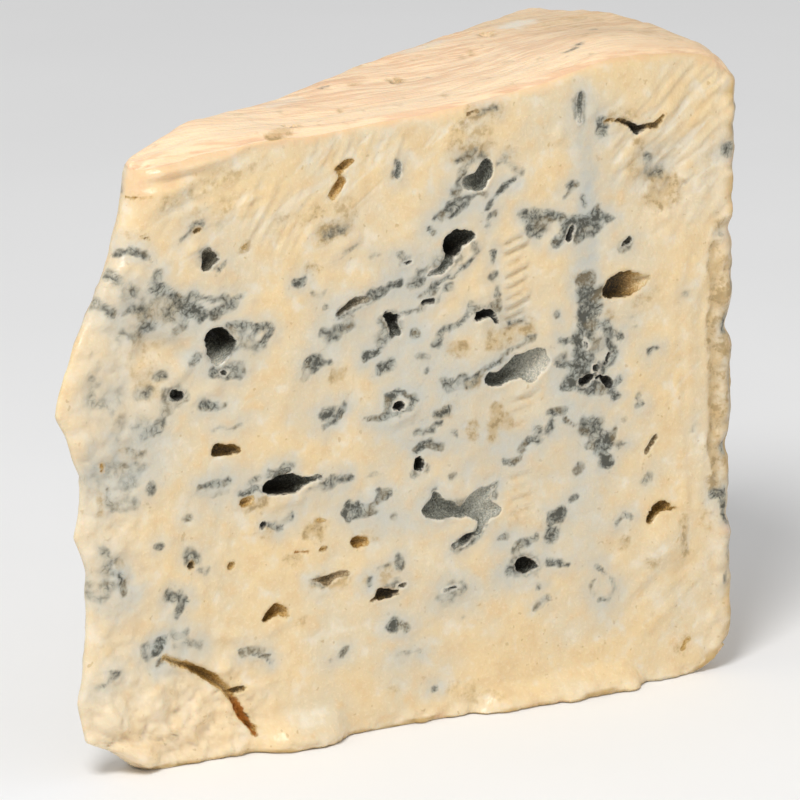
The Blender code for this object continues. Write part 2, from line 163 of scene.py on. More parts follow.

# Small holes: (along, height, length, thickness, tilt), then depth, tones, pale way and amber as above,
# the tones again partly painted shade and light.
PITS = {
    "eye_dot": (21.9, 51.9, 1.1, 0.6, -13, 1.0, 0.0, 0.3, 0, 0.0),
    "ochre_hole": (25.6, 34.0, 2.3, 1.1, 8, 1.2, 0.5, 0.95, 0, 1.0),
    "under_cave": (27.8, 30.4, 1.1, 0.9, -3, 1.3, 0.0, 0.1, 0, 0.0),
    "brown_dot": (17.2, 26.8, 1.2, 0.9, 7, 1.4, 0.08, 0.3, 90, 0.9),
    "ochre_dot": (23.2, 25.8, 1.3, 1.1, 10, 1.2, 0.55, 0.8, 0, 1.0),
    "ochre_high": (25.0, 68.0, 0.8, 0.8, 0, 0.6, 0.8, 1.0, 0, 1.0),
    "tip_nick": (10.8, 71.5, 1.3, 0.4, -16, 0.8, 0.3, 0.5, 0, 0.9),
    "tip_left": (4.4, 41.8, 0.5, 1.4, 0, 0.7, 0.5, 0.9, 0, 1.0),
    "olive_nick": (18.1, 71.2, 1.2, 0.7, 25, 0.9, 0.3, 0.5, 0, 0.7),
    "fold_nick": (10.6, 76.4, 2.6, 0.35, 6, 0.8, 0.5, 0.7, 0, 1.0),
    "needle_slit": (75.4, 80.4, 4.2, 0.6, -88, 1.0, 0.45, 0.85, -90, 0.0),
    "upright_slit": (48.1, 75.4, 2.2, 0.8, 85, 0.6, 0.45, 0.7, 0, 0.0),
    "comma_slit": (49.3, 62.6, 1.4, 0.45, 12, 1.0, 0.0, 0.0, 0, 0.0),
    "comma_under": (52.7, 56.8, 2.1, 0.6, 6, 1.4, 0.0, 0.0, 0, 0.0),
    "gap_left": (76.5, 48.5, 1.5, 0.45, 100, 1.2, 0.0, 0.0, 0, 0.0),
    "gap_right": (79.8, 46.1, 1.9, 0.55, 62, 1.2, 0.0, 0.0, 0, 0.0),
    "gap_middle": (78.1, 44.9, 1.1, 0.9, -39, 1.4, 0.1, 0.4, 0, 0.0),
    "high_slot": (87.0, 33.0, 2.9, 0.8, 52, 0.9, 0.35, 0.6, 180, 0.5),
    "hook_ring": (56.6, 23.6, 1.0, 0.9, 0, 0.7, 0.5, 0.8, 0, 0.0),
    "orange_slit": (33.8, 26.3, 2.7, 0.32, -4, 1.0, 0.5, 0.8, 0, 1.3),
    "orange_pit": (37.1, 26.3, 1.4, 0.6, -8, 0.9, 0.6, 0.9, 0, 1.1),
    "amber_pit": (42.5, 26.4, 2.7, 1.5, -4, 1.6, 0.4, 0.7, 0, 1.1),
    "ochre_streak": (36.6, 30.0, 1.9, 0.45, -3, 0.8, 0.6, 0.9, 0, 1.0),
    "leaf_slit": (55.9, 17.8, 2.6, 0.35, 12, 1.0, 0.1, 0.2, 0, 0.0),
    "slot_tail": (48.4, 19.7, 1.4, 0.6, 14, 0.9, 0.3, 0.5, 0, 0.3),
    "lobe_mouth": (74.0, 63.5, 2.2, 0.9, 60, 1.2, 0.0, 0.2, 0, 0.0),
    "foot_pit": (26.5, 3.0, 1.4, 0.6, 75, 0.7, 0.5, 0.7, 0, 1.0),
    "rim_pit": (92.5, 4.8, 2.2, 0.7, 55, 0.5, 0.7, 0.9, 0, 0.9),
    "moss_slit": (59.3, 81.5, 2.4, 0.45, 4, 0.7, 0.4, 0.6, 0, 0.6),
}

# Cracks: the line they follow as (along, height), then (width, tone, amber) at each corner, and depth.
CRACKS = {
    "amber_crack": (((13.1, 15.3), (15.6, 14.0), (18.0, 12.7), (20.3, 11.3), (22.2, 9.6), (23.6, 7.7),
                     (24.9, 5.3), (26.7, 2.4)),
                    (0.8, 1.0, 1.3, 1.5, 1.2, 1.0, 1.2, 0.5),
                    (0.9, 0.85, 0.40, 0.5, 0.85, 0.75, 0.65, 0.65),
                    (0.8, 0.8, 0.8, 0.9, 0.9, 1.3, 1.6, 1.6), 1.7),
    "crack_branch": (((22.8, 9.1), (24.0, 8.9), (25.1, 9.2)), (0.7, 1.0, 0.4), (0.5, 0.3, 0.35),
                     (0.9, 0.7, 0.7), 1.8),
    "shoulder_crack": (((79.6, 78.0), (81.5, 77.9), (83.2, 76.9), (84.5, 75.9), (85.9, 76.2), (87.1, 76.1),
                        (88.4, 77.5)), (0.4, 0.6, 0.8, 1.2, 0.7, 0.8, 0.3),
                       (0.5, 0.35, 0.22, 0.08, 0.28, 0.25, 0.4), (0.9, 0.8, 0.5, 0.2, 0.6, 0.7, 0.9), 1.9),
}

# Mould of the shown cut, by place: (along, height, length, thickness, tilt, strength).
SLATE_MOULD = {
    "round the eye": ((21.5, 55.4, 5.6, 5.6, 0, 0.75), (25.6, 57.6, 7.4, 0.9, -8, 0.75),
                      (28.4, 55.8, 3.4, 1.2, 48, 0.8), (25.6, 55.4, 6.0, 2.2, -34, 0.42),
                      (22.4, 52.0, 5.6, 1.9, -8, 0.7), (17.6, 54.5, 2.4, 1.1, 40, 0.75),
                      (24.4, 52.3, 2.2, 1.2, 30, 0.5), (26.8, 57.0, 1.8, 0.7, 60, 0.8)),
    "shoulder of the tip": ((17.4, 71.4, 3.8, 1.2, 30, 0.6), (19.9, 67.3, 3.4, 4.0, 60, 0.45),
                            (22.1, 66.1, 2.0, 0.6, 35, 0.5), (21.4, 71.4, 1.0, 1.4, 0, 0.3),
                            (7.8, 69.6, 2.0, 0.8, 42, 0.7), (10.0, 69.4, 3.2, 1.0, -42, 0.85),
                            (6.2, 67.0, 4.2, 1.4, -63, 0.6), (4.6, 62.4, 4.0, 1.9, -26, 0.55)),
    "tip streaks": ((12.2, 66.0, 2.8, 1.6, 70, 0.7), (13.6, 63.4, 5.4, 1.4, -39, 0.75),
                    (17.3, 60.9, 5.4, 1.9, -34, 0.9), (21.9, 60.4, 4.6, 1.6, 18, 0.75),
                    (19.6, 62.2, 6.4, 1.0, -10, 0.65), (24.6, 61.6, 2.0, 0.8, 4, 0.5),
                    (9.2, 61.8, 4.0, 1.4, 11, 0.55), (13.3, 60.4, 8.0, 3.0, -1, 0.5),
                    (11.2, 59.2, 2.6, 1.7, -5, 0.75), (15.4, 58.8, 3.4, 1.2, 20, 0.5)),
    "tip hole": ((14.5, 50.0, 4.4, 2.6, -11, 0.55), (13.0, 47.4, 3.6, 2.0, 62, 0.55),
                 (10.4, 50.8, 2.2, 1.6, -8, 0.5), (12.8, 52.9, 2.6, 1.2, -2, 0.55),
                 (2.8, 52.0, 3.0, 5.0, -8, 0.34), (11.4, 45.6, 3.4, 2.2, 20, 0.6),
                 (9.1, 43.2, 3.2, 1.2, -19, 0.5), (19.9, 47.7, 3.2, 1.7, -10, 0.85),
                 (22.0, 47.3, 1.2, 0.8, 0, 0.6), (22.6, 44.4, 4.8, 0.6, 2, 0.45)),
    "broken tip": ((6.8, 41.0, 9.0, 3.4, -8, 0.4), (5.2, 37.6, 3.2, 0.9, -86, 0.6), (8.3, 39.7, 2.6, 1.6, -8, 0.5),
                   (11.6, 37.9, 1.6, 1.8, 0, 0.55), (7.6, 36.6, 5.0, 2.4, 0, 0.42), (4.7, 30.6, 1.6, 1.4, 0, 0.5),
                   (4.9, 29.1, 1.8, 1.2, 5, 0.55), (6.8, 26.4, 3.4, 1.3, -84, 0.8), (5.6, 28.0, 3.0, 1.0, -50, 0.5),
                   (5.6, 14.4, 1.6, 1.0, 12, 0.65), (3.9, 13.2, 3.0, 1.2, 30, 0.5)),
    "tip haze": ((5.1, 50.4, 8.0, 4.0, 10, 0.30), (8.6, 46.6, 8.0, 5.0, 0, 0.28), (5.7, 39.8, 11.0, 4.0, 0, 0.30),
                 (11.7, 62.6, 12.0, 5.0, -20, 0.42), (8.7, 59.1, 5.0, 4.0, 0, 0.36), (3.6, 26.0, 5.0, 4.0, 0, 0.38),
                 (5.6, 29.2, 6.0, 3.0, 0, 0.30)),
    "tip dots": ((16.9, 33.2, 1.5, 1.1, -8, 0.6), (12.8, 30.4, 1.6, 0.8, 20, 0.65), (17.2, 27.9, 3.0, 2.2, -3, 0.6),
                 (19.0, 26.2, 2.2, 1.0, -20, 0.5), (14.4, 23.0, 3.2, 1.6, -14, 0.75), (15.2, 21.4, 1.2, 2.6, -20, 0.75),
                 (16.2, 22.4, 1.1, 0.7, 30, 0.9), (14.6, 20.2, 1.4, 1.1, 2, 0.35)),
    "crack head": ((12.3, 17.0, 2.4, 1.8, 24, 1.0), (10.6, 16.6, 3.0, 2.4, 30, 0.5), (12.3, 14.6, 1.6, 1.0, 40, 0.65),
                   (15.2, 18.0, 3.0, 1.4, -8, 0.5), (16.6, 16.4, 4.6, 1.2, -12, 0.36)),
    "left of the middle": ((33.4, 62.1, 2.0, 1.2, -7, 0.9), (36.0, 60.2, 2.4, 1.0, -20, 0.4),
                           (37.2, 58.4, 0.9, 0.6, 0, 0.6), (35.4, 51.0, 3.0, 2.2, 12, 0.85),
                           (37.4, 50.8, 1.8, 1.0, 0, 0.45), (34.2, 49.6, 1.0, 1.2, 60, 0.5),
                           (39.0, 55.2, 5.4, 1.4, 6, 0.6), (38.2, 53.9, 2.4, 2.0, 10, 0.65),
                           (40.6, 56.2, 2.0, 1.0, 20, 0.5), (38.4, 67.8, 4.4, 1.2, 14, 0.5)),
    "long slot": ((42.4, 58.1, 8.0, 1.5, 15, 0.8), (47.6, 59.8, 3.0, 1.0, 10, 0.9), (46.0, 59.2, 4.0, 0.6, 14, 0.8),
                  (40.7, 65.4, 2.6, 0.8, 12, 0.42), (48.6, 63.4, 2.6, 1.0, -25, 0.75), (49.2, 62.8, 2.0, 1.3, 20, 0.7),
                  (44.6, 64.0, 2.0, 0.8, 4, 0.5), (38.6, 64.2, 2.2, 0.7, 14, 0.35)),
    "comma": ((55.8, 62.8, 6.0, 4.4, 40, 0.5), (51.2, 59.6, 3.2, 1.2, 12, 0.75), (54.4, 59.2, 3.8, 0.5, 32, 0.85),
              (52.8, 58.0, 3.0, 0.6, 12, 0.7), (51.4, 60.8, 3.4, 1.0, 18, 0.6), (55.5, 58.3, 1.7, 1.1, 9, 0.75),
              (53.4, 57.0, 2.4, 0.5, 20, 0.7), (57.8, 60.8, 4.4, 0.5, 38, 0.7), (59.8, 63.2, 1.6, 2.2, 60, 0.5)),
    "above the comma": ((55.0, 68.8, 3.6, 0.7, 28, 0.95), (58.2, 70.0, 3.6, 0.6, 12, 0.8),
                        (57.2, 68.6, 3.8, 0.6, 24, 0.85), (56.3, 68.9, 6.0, 1.7, 18, 0.45),
                        (52.7, 66.6, 1.6, 0.6, -36, 0.95), (64.4, 70.7, 3.4, 0.6, 33, 0.9),
                        (62.0, 68.8, 2.0, 1.0, 40, 0.8), (62.2, 67.2, 1.8, 0.7, 20, 0.8),
                        (61.6, 66.0, 1.0, 0.7, 7, 0.7), (60.8, 70.4, 2.2, 1.2, 0, 0.5),
                        (62.4, 61.6, 1.7, 0.8, 85, 0.85), (62.6, 58.9, 1.8, 1.4, -2, 0.6), (63.0, 56.4, 1.3, 0.9, 4, 0.7)),
    "grey pocket": ((57.4, 72.6, 4.4, 1.6, 70, 0.6), (60.0, 75.4, 3.6, 1.6, 20, 0.5), (58.2, 75.9, 3.4, 1.0, 20, 0.75),
                    (65.2, 73.4, 4.4, 1.0, -40, 0.42), (63.8, 74.6, 2.0, 1.2, 20, 0.42), (56.6, 71.4, 1.2, 1.0, 60, 0.7)),
    "branch": ((47.2, 54.7, 4.0, 3.2, -31, 0.75), (45.6, 52.7, 2.4, 2.4, 30, 0.6), (44.2, 51.0, 3.2, 1.0, 14, 0.95),
               (46.3, 49.3, 2.8, 1.3, 26, 0.85), (50.4, 52.8, 1.4, 1.1, 40, 0.95), (50.0, 55.9, 4.6, 0.5, 8, 0.7),
               (53.9, 51.4, 2.0, 1.2, 10, 0.75), (51.9, 49.8, 1.9, 1.0, 0, 0.5), (52.5, 48.2, 1.0, 1.0, 8, 0.8)),
    "arch": ((55.4, 53.0, 2.8, 0.8, 26, 0.85), (57.8, 53.8, 2.8, 0.8, 8, 0.75), (61.0, 54.8, 5.4, 1.4, -10, 0.6),
             (63.4, 54.8, 1.8, 1.2, -58, 0.7), (66.4, 52.4, 3.6, 1.0, -5, 0.7), (63.0, 57.2, 1.0, 1.4, 0, 0.6)),
    "lens": ((55.4, 45.9, 1.6, 1.7, 60, 0.75), (56.8, 46.4, 4.2, 0.5, 1, 0.8), (58.9, 46.2, 4.4, 0.5, 12, 0.85),
             (57.5, 44.9, 4.4, 0.5, 5, 0.8), (57.2, 45.6, 4.0, 1.2, 5, 0.42), (62.6, 47.2, 4.6, 0.5, 16, 0.85),
             (60.0, 46.0, 2.6, 1.4, 20, 0.5), (66.4, 49.2, 5.8, 0.6, 24, 0.6)),
    "black dot": ((47.2, 45.0, 2.4, 0.8, 22, 0.95), (49.4, 44.9, 2.4, 0.6, -10, 0.9), (50.4, 44.5, 1.4, 1.0, -30, 0.9),
                  (45.0, 42.4, 3.2, 0.7, -4, 0.9), (47.0, 42.3, 2.4, 0.7, 12, 0.9), (49.0, 43.0, 3.2, 0.5, 28, 0.8),
                  (46.4, 44.0, 1.2, 2.6, -10, 0.75), (37.6, 44.2, 2.0, 1.5, 10, 0.85), (39.6, 44.3, 1.8, 1.0, 40, 0.85),
                  (38.0, 42.8, 2.6, 0.9, 20, 0.75)),
    "middle": ((54.8, 42.1, 3.0, 1.1, 10, 0.85), (54.4, 40.5, 1.6, 0.8, -2, 0.6), (51.9, 39.5, 3.6, 1.3, 12, 0.6),
               (49.3, 40.6, 2.0, 0.8, 20, 0.4), (56.3, 38.9, 1.5, 1.2, -30, 0.6), (51.4, 37.4, 1.8, 0.8, 40, 0.95),
               (53.4, 37.6, 2.8, 0.8, -6, 0.95), (51.2, 34.3, 2.6, 1.4, 20, 0.65), (44.8, 34.6, 2.4, 0.6, -8, 0.35),
               (56.4, 33.3, 1.6, 0.9, 20, 0.6), (47.4, 28.8, 1.0, 0.9, 0, 0.6)),
    "cave": ((30.6, 37.5, 4.2, 0.9, 6, 0.75), (26.5, 35.3, 3.9, 0.6, 6, 0.9), (27.0, 36.6, 3.4, 1.0, 16, 0.55),
             (20.9, 36.9, 5.2, 0.8, 2, 0.75), (20.4, 35.8, 5.6, 0.9, -3, 0.36), (37.8, 34.8, 2.6, 1.6, -10, 0.7),
             (40.4, 35.0, 2.2, 0.9, -17, 0.9), (39.0, 35.6, 2.0, 0.6, -10, 0.7), (32.4, 31.0, 0.9, 1.0, 0, 0.8),
             (29.6, 30.0, 2.6, 0.9, -16, 0.8), (30.6, 30.6, 3.0, 1.2, 6, 0.36), (36.2, 34.2, 4.0, 0.8, 2, 0.36)),
    "middle pocket": ((41.6, 30.7, 3.0, 1.2, -16, 0.95), (43.2, 31.0, 2.4, 0.6, 0, 0.95), (45.2, 31.3, 2.6, 1.0, 24, 0.9),
                      (40.6, 30.0, 1.4, 1.2, 60, 0.95), (43.4, 29.9, 3.8, 0.8, -2, 0.8), (46.1, 32.4, 2.2, 0.9, -6, 0.7)),
    "bat edge": ((56.2, 29.0, 9.0, 3.0, -4, 0.6), (61.4, 29.6, 4.0, 3.0, 30, 0.6), (53.4, 31.4, 1.2, 1.2, 80, 0.8),
                 (61.9, 31.0, 3.2, 0.7, 6, 0.85), (60.8, 25.4, 1.4, 1.6, 70, 0.9), (58.2, 24.0, 5.2, 1.6, 18, 0.85)),
    "needle column": ((76.7, 57.0, 2.8, 2.4, 0, 1.0), (77.3, 54.9, 4.8, 3.0, -7, 0.95), (76.7, 52.8, 3.2, 2.8, 40, 0.95),
                      (78.3, 53.2, 2.4, 2.4, 0, 0.75), (78.0, 50.9, 2.6, 2.0, 30, 0.8), (77.2, 49.2, 2.0, 2.4, 0, 0.7),
                      (80.4, 49.6, 2.2, 1.6, -60, 0.7), (80.4, 46.0, 2.4, 1.2, 60, 0.85), (77.2, 46.4, 2.4, 2.6, 0, 0.7),
                      (76.2, 51.0, 2.4, 1.6, 60, 0.9), (75.4, 49.4, 2.6, 1.6, 80, 0.85), (75.7, 47.2, 2.4, 1.8, 100, 0.9),
                      (75.8, 45.2, 3.2, 2.4, -8, 0.95), (75.3, 43.2, 4.6, 2.2, -8, 0.95), (78.8, 42.4, 4.0, 2.4, -12, 0.95),
                      (81.3, 42.6, 2.0, 1.0, 20, 0.9), (79.6, 50.6, 1.8, 1.6, 70, 0.8), (80.2, 48.2, 2.6, 1.0, -70, 0.8),
                      (79.0, 44.6, 1.8, 1.8, 0, 0.85), (77.4, 41.8, 4.2, 1.2, -10, 0.85), (80.8, 40.8, 2.4, 0.9, -46, 1.0),
                      (73.1, 49.3, 2.0, 0.5, -3, 0.8), (73.1, 45.7, 3.2, 0.6, -17, 0.85), (72.2, 52.7, 0.9, 0.8, 53, 0.9),
                      (81.9, 48.8, 0.8, 0.8, 0, 0.95), (78.4, 48.0, 3.6, 3.4, 0, 0.45), (72.6, 46.8, 2.6, 2.4, 0, 0.36),
                      (73.4, 42.9, 1.4, 1.2, 30, 0.9), (83.6, 51.0, 1.0, 0.8, 0, 0.3)),
    "cluster": ((69.0, 65.4, 4.6, 3.4, -25, 0.7), (67.6, 65.4, 3.8, 0.8, -72, 0.9), (69.0, 63.6, 1.8, 0.8, -20, 0.85),
                (76.4, 64.0, 5.6, 3.0, 0, 0.7), (79.0, 64.8, 2.0, 1.4, 0, 0.85), (71.8, 65.9, 3.6, 1.2, -14, 0.95), (73.8, 64.4, 3.0, 2.6, 9, 1.0),
                (76.9, 64.6, 4.4, 2.2, 10, 0.95), (72.0, 62.9, 1.8, 1.4, 50, 0.95), (75.4, 62.8, 1.4, 1.4, 60, 0.8),
                (78.2, 65.6, 1.8, 1.2, -40, 0.95), (79.8, 64.3, 1.6, 0.8, -30, 0.9), (74.6, 70.0, 1.8, 0.8, 30, 0.7),
                (73.2, 68.9, 2.2, 0.8, 57, 0.6), (75.9, 67.6, 2.2, 0.8, -64, 0.7), (80.6, 69.4, 1.0, 0.6, 60, 0.4)),
    "right blots": ((77.3, 36.8, 4.6, 3.4, -8, 0.85), (79.3, 34.2, 3.6, 2.8, 20, 0.95), (79.6, 32.0, 2.0, 2.2, -8, 0.95),
                    (82.2, 33.5, 2.2, 0.8, 10, 0.7), (81.2, 35.6, 1.8, 0.9, 60, 0.8), (82.4, 37.2, 1.2, 0.7, 0, 0.5),
                    (85.0, 38.6, 1.6, 1.0, 30, 0.75), (84.6, 40.0, 1.0, 1.4, 40, 0.4), (77.0, 34.4, 1.8, 1.0, -8, 0.7),
                    (72.4, 39.5, 3.0, 1.2, 7, 0.9), (71.1, 37.7, 1.5, 1.2, 50, 0.9), (74.0, 38.0, 2.2, 0.7, -32, 0.9),
                    (68.4, 36.2, 3.2, 0.9, 6, 0.9), (67.1, 35.4, 0.9, 1.3, 12, 0.85), (69.5, 37.3, 1.0, 0.9, 0, 0.85),
                    (65.8, 33.9, 3.0, 1.0, 0, 0.85), (75.3, 31.4, 1.8, 1.0, 50, 0.75), (86.2, 28.4, 2.6, 1.4, 35, 0.5),
                    (74.6, 27.2, 1.6, 1.0, 30, 0.75), (72.2, 25.4, 2.8, 1.6, 10, 0.95), (71.6, 22.8, 2.0, 3.2, -10, 0.8),
                    (81.7, 23.4, 1.8, 0.7, 35, 0.7), (83.3, 23.9, 1.6, 0.8, -16, 0.75)),
    "diamond": ((67.4, 19.4, 5.6, 3.2, -6, 0.55), (64.0, 23.4, 2.0, 0.9, 10, 0.85), (67.4, 22.3, 2.6, 1.2, 8, 0.7),
                (69.2, 22.7, 1.0, 1.2, 50, 0.7), (64.8, 18.8, 1.8, 1.2, 30, 0.75), (71.9, 19.1, 2.6, 1.1, -12, 0.9),
                (73.8, 18.6, 1.2, 0.5, 0, 0.6), (69.9, 16.2, 1.4, 0.6, -80, 0.7), (70.0, 13.8, 3.0, 1.1, 22, 0.5),
                (66.2, 21.4, 1.4, 0.7, 0, 0.6)),
    "lower left": ((26.2, 14.1, 4.2, 1.6, 4, 0.6), (27.4, 13.2, 2.8, 0.6, -16, 0.9), (24.4, 14.0, 1.0, 1.2, 40, 0.8),
                   (28.6, 12.2, 1.8, 0.6, -20, 0.75), (36.0, 21.8, 2.4, 1.2, -20, 0.75), (39.9, 11.4, 1.8, 1.1, 40, 0.8),
                   (38.1, 10.9, 0.8, 0.4, 0, 0.6), (43.9, 20.8, 1.6, 0.8, -70, 0.85), (48.1, 22.8, 1.2, 2.0, -10, 0.7),
                   (45.8, 22.6, 2.4, 0.6, 8, 0.6), (46.8, 19.8, 3.4, 1.4, 10, 0.5)),
    "low middle": ((47.4, 14.4, 1.8, 1.5, 55, 1.0), (48.9, 13.8, 2.2, 1.0, -37, 0.9), (56.0, 17.3, 5.4, 2.6, 12, 0.5),
                   (53.8, 4.3, 1.2, 1.0, -50, 0.7), (49.8, 9.9, 4.2, 0.5, -4, 0.5), (58.2, 13.6, 1.0, 0.6, 0, 0.3)),
    "needle slit": ((75.4, 80.6, 4.6, 1.6, -88, 0.6), (48.1, 75.4, 2.8, 1.6, 85, 0.6), (61.8, 81.6, 3.4, 1.0, 0, 0.6)),
    "rim": ((98.6, 71.6, 1.8, 1.6, 0, 0.75), (98.4, 60.6, 1.2, 0.8, 0, 0.6), (97.8, 25.0, 3.2, 1.4, 0, 0.8),
            (98.8, 22.2, 4.2, 1.0, -70, 0.7), (99.2, 47.8, 2.6, 1.1, 80, 0.8), (99.4, 31.0, 1.8, 0.9, 85, 0.8),
            (99.4, 54.0, 8.0, 0.7, 88, 0.45), (99.6, 39.0, 10.0, 0.6, 88, 0.45), (98.9, 15.0, 6.0, 0.7, 85, 0.4)),
    "faint ring": ((78.7, 17.2, 1.8, 0.6, -50, 0.7), (79.9, 16.3, 1.6, 0.5, -12, 0.5), (80.8, 14.8, 2.4, 0.7, -80, 0.6),
                   (79.2, 12.8, 2.0, 0.7, -16, 0.7), (77.7, 14.6, 2.6, 0.7, 85, 0.5), (80.6, 13.4, 1.2, 1.2, 0, 0.35)),
    "top right": ((79.0, 77.2, 1.6, 2.6, 0, 0.75), (86.6, 72.2, 1.8, 1.4, 0, 0.6), (87.8, 70.4, 4.0, 3.0, -16, 0.5),
                  (87.2, 45.9, 2.4, 0.8, 22, 0.75), (84.2, 49.8, 1.0, 0.6, 0, 0.3), (92.6, 52.9, 1.4, 1.6, 0, 0.45),
                  (88.6, 42.8, 1.2, 1.0, 0, 0.3), (93.8, 34.6, 1.2, 1.6, 0, 0.3), (82.7, 60.6, 2.6, 1.4, 22, 0.6)),
}

# Olive and ochre staining of the shown cut, with some painted shadows in ochre, in the same terms.
OCHRE_STAINS_AND_SHADOWS = {
    # In the upper left, the marks centred 72 to 78 mm high and 17 to 25 mm along are painted shadow under the rind's
    # rolled lip and its folds.
    "upper left": ((38.6, 68.2, 5.0, 2.2, 12, 0.75), (36.8, 67.6, 2.0, 1.4, 10, 0.9), (34.8, 70.4, 3.0, 1.6, 20, 0.6),
                   (31.0, 70.8, 2.4, 1.4, 0, 0.4), (17.6, 72.6, 2.8, 1.0, -10, 0.35), (22.0, 73.4, 3.0, 0.9, 0, 0.45),
                   (25.0, 68.0, 1.2, 1.2, 0, 0.6), (35.2, 63.6, 1.8, 0.8, -2, 0.7), (17.6, 76.4, 10.0, 1.8, 10, 0.46),
                   (24.8, 77.9, 9.0, 1.5, 6, 0.40), (20.0, 74.6, 8.0, 1.2, 12, 0.30),
                   (40.2, 70.8, 4.4, 2.4, -30, 0.45), (10.0, 71.6, 2.4, 1.0, -20, 0.4)),
    "above the pocket": ((57.0, 78.6, 4.6, 2.6, 60, 0.5), (59.4, 76.4, 5.6, 1.6, 8, 0.75), (61.0, 81.4, 5.0, 0.9, 0, 0.75),
                         (65.0, 75.4, 2.4, 1.4, -30, 0.6), (60.2, 78.4, 4.0, 2.0, 10, 0.45)),
    "olive bands": ((65.6, 51.0, 7.0, 2.0, 14, 0.75), (62.8, 39.8, 1.6, 4.4, -16, 0.9), (64.2, 39.6, 2.4, 1.4, 10, 0.75),
                    (59.2, 39.0, 1.0, 2.6, 20, 0.6), (59.4, 45.5, 2.4, 1.2, 20, 0.75), (57.0, 50.2, 3.4, 1.4, -10, 0.75),
                    (55.2, 42.3, 3.0, 0.9, 10, 0.6), (62.4, 50.3, 1.2, 0.9, 0, 0.8), (12.2, 61.0, 6.6, 4.0, 0, 0.55),
                    (15.4, 61.9, 1.6, 1.0, -20, 0.95), (11.0, 51.0, 3.6, 3.0, 0, 0.3), (39.2, 49.0, 1.5, 0.5, -5, 0.9)),
    "scoop edge": ((10.6, 56.2, 0.6, 6.0, 24, 0.4), (12.6, 52.6, 4.2, 0.6, -30, 0.4), (14.2, 57.4, 5.0, 0.5, 16, 0.4),
                   (9.6, 58.4, 1.2, 3.0, 0, 0.35), (9.4, 53.6, 0.6, 5.0, 20, 0.4),
                   (12.0, 50.6, 4.6, 0.6, -24, 0.4)),
    "low left": ((28.4, 29.3, 1.6, 0.5, -8, 0.6), (26.6, 33.4, 3.6, 0.7, 0, 0.75), (27.4, 31.8, 0.5, 2.4, 0, 0.4),
                 (36.2, 28.8, 3.0, 2.2, 30, 0.6), (35.4, 29.0, 2.4, 0.5, 34, 0.95), (36.6, 28.3, 1.2, 0.8, 0, 0.9),
                 (32.3, 25.4, 1.8, 0.9, 1, 0.6), (38.0, 22.0, 5.8, 1.6, 6, 0.6), (45.4, 21.6, 4.6, 1.6, 10, 0.45),
                 (43.6, 27.0, 3.4, 1.4, 0, 0.35), (27.4, 11.8, 3.0, 1.2, -10, 0.35), (33.6, 17.0, 1.4, 1.0, 0, 0.5),
                 (33.8, 11.0, 4.0, 2.0, 0, 0.22), (14.6, 10.0, 5.0, 3.0, 20, 0.3), (7.0, 27.4, 1.8, 3.2, 0, 0.5),
                 (16.0, 5.0, 9.0, 1.2, 14, 0.3), (8.6, 43.2, 3.6, 0.6, -12, 0.55), (4.4, 37.0, 0.8, 3.0, 0, 0.5)),
    "right": ((84.2, 71.0, 2.6, 3.4, 0, 0.35), (88.6, 67.4, 6.6, 6.6, 0, 0.85), (84.8, 73.4, 1.0, 2.4, 0, 0.6),
              (86.0, 53.6, 4.0, 0.5, 14, 0.55), (82.6, 20.2, 1.4, 1.2, 0, 0.7), (92.2, 19.4, 0.7, 5.0, 6, 0.6),
              (87.0, 16.8, 0.9, 0.9, 0, 0.55), (92.5, 4.8, 2.4, 1.2, 55, 0.6), (62.0, 6.0, 1.4, 0.6, 0, 0.2),
              (86.6, 8.6, 2.6, 0.9, 50, 0.25), (57.4, 3.6, 4.6, 2.0, -6, 0.4), (61.4, 2.2, 4.0, 0.7, 8, 0.4),
              (70.0, 24.0, 1.0, 1.0, 0, 0.4), (64.4, 25.6, 4.0, 1.0, 0, 0.3), (47.6, 5.4, 1.4, 0.6, 0, 0.4),
              (80.4, 51.6, 1.0, 0.8, 0, 0.6), (75.2, 58.2, 0.9, 0.9, 0, 0.4)),
    # The first two marks of the rim groove run along it: partly the groove's ochre and partly painted shadow in the
    # groove.
    "rim groove": ((97.0, 42.5, 34.0, 0.9, 91, 0.95), (98.6, 42.0, 30.0, 1.6, 90, 0.6), (97.6, 61.6, 2.0, 1.6, 0, 0.7), (97.2, 27.0, 3.4, 1.6, 40, 0.7),
                   (96.2, 21.6, 2.0, 2.6, 0, 0.4), (82.0, 78.2, 4.0, 1.0, -10, 0.5), (95.0, 68.0, 8.0, 2.4, 80, 0.2), (93.0, 76.0, 14.0, 3.0, 40, 0.2)),
}

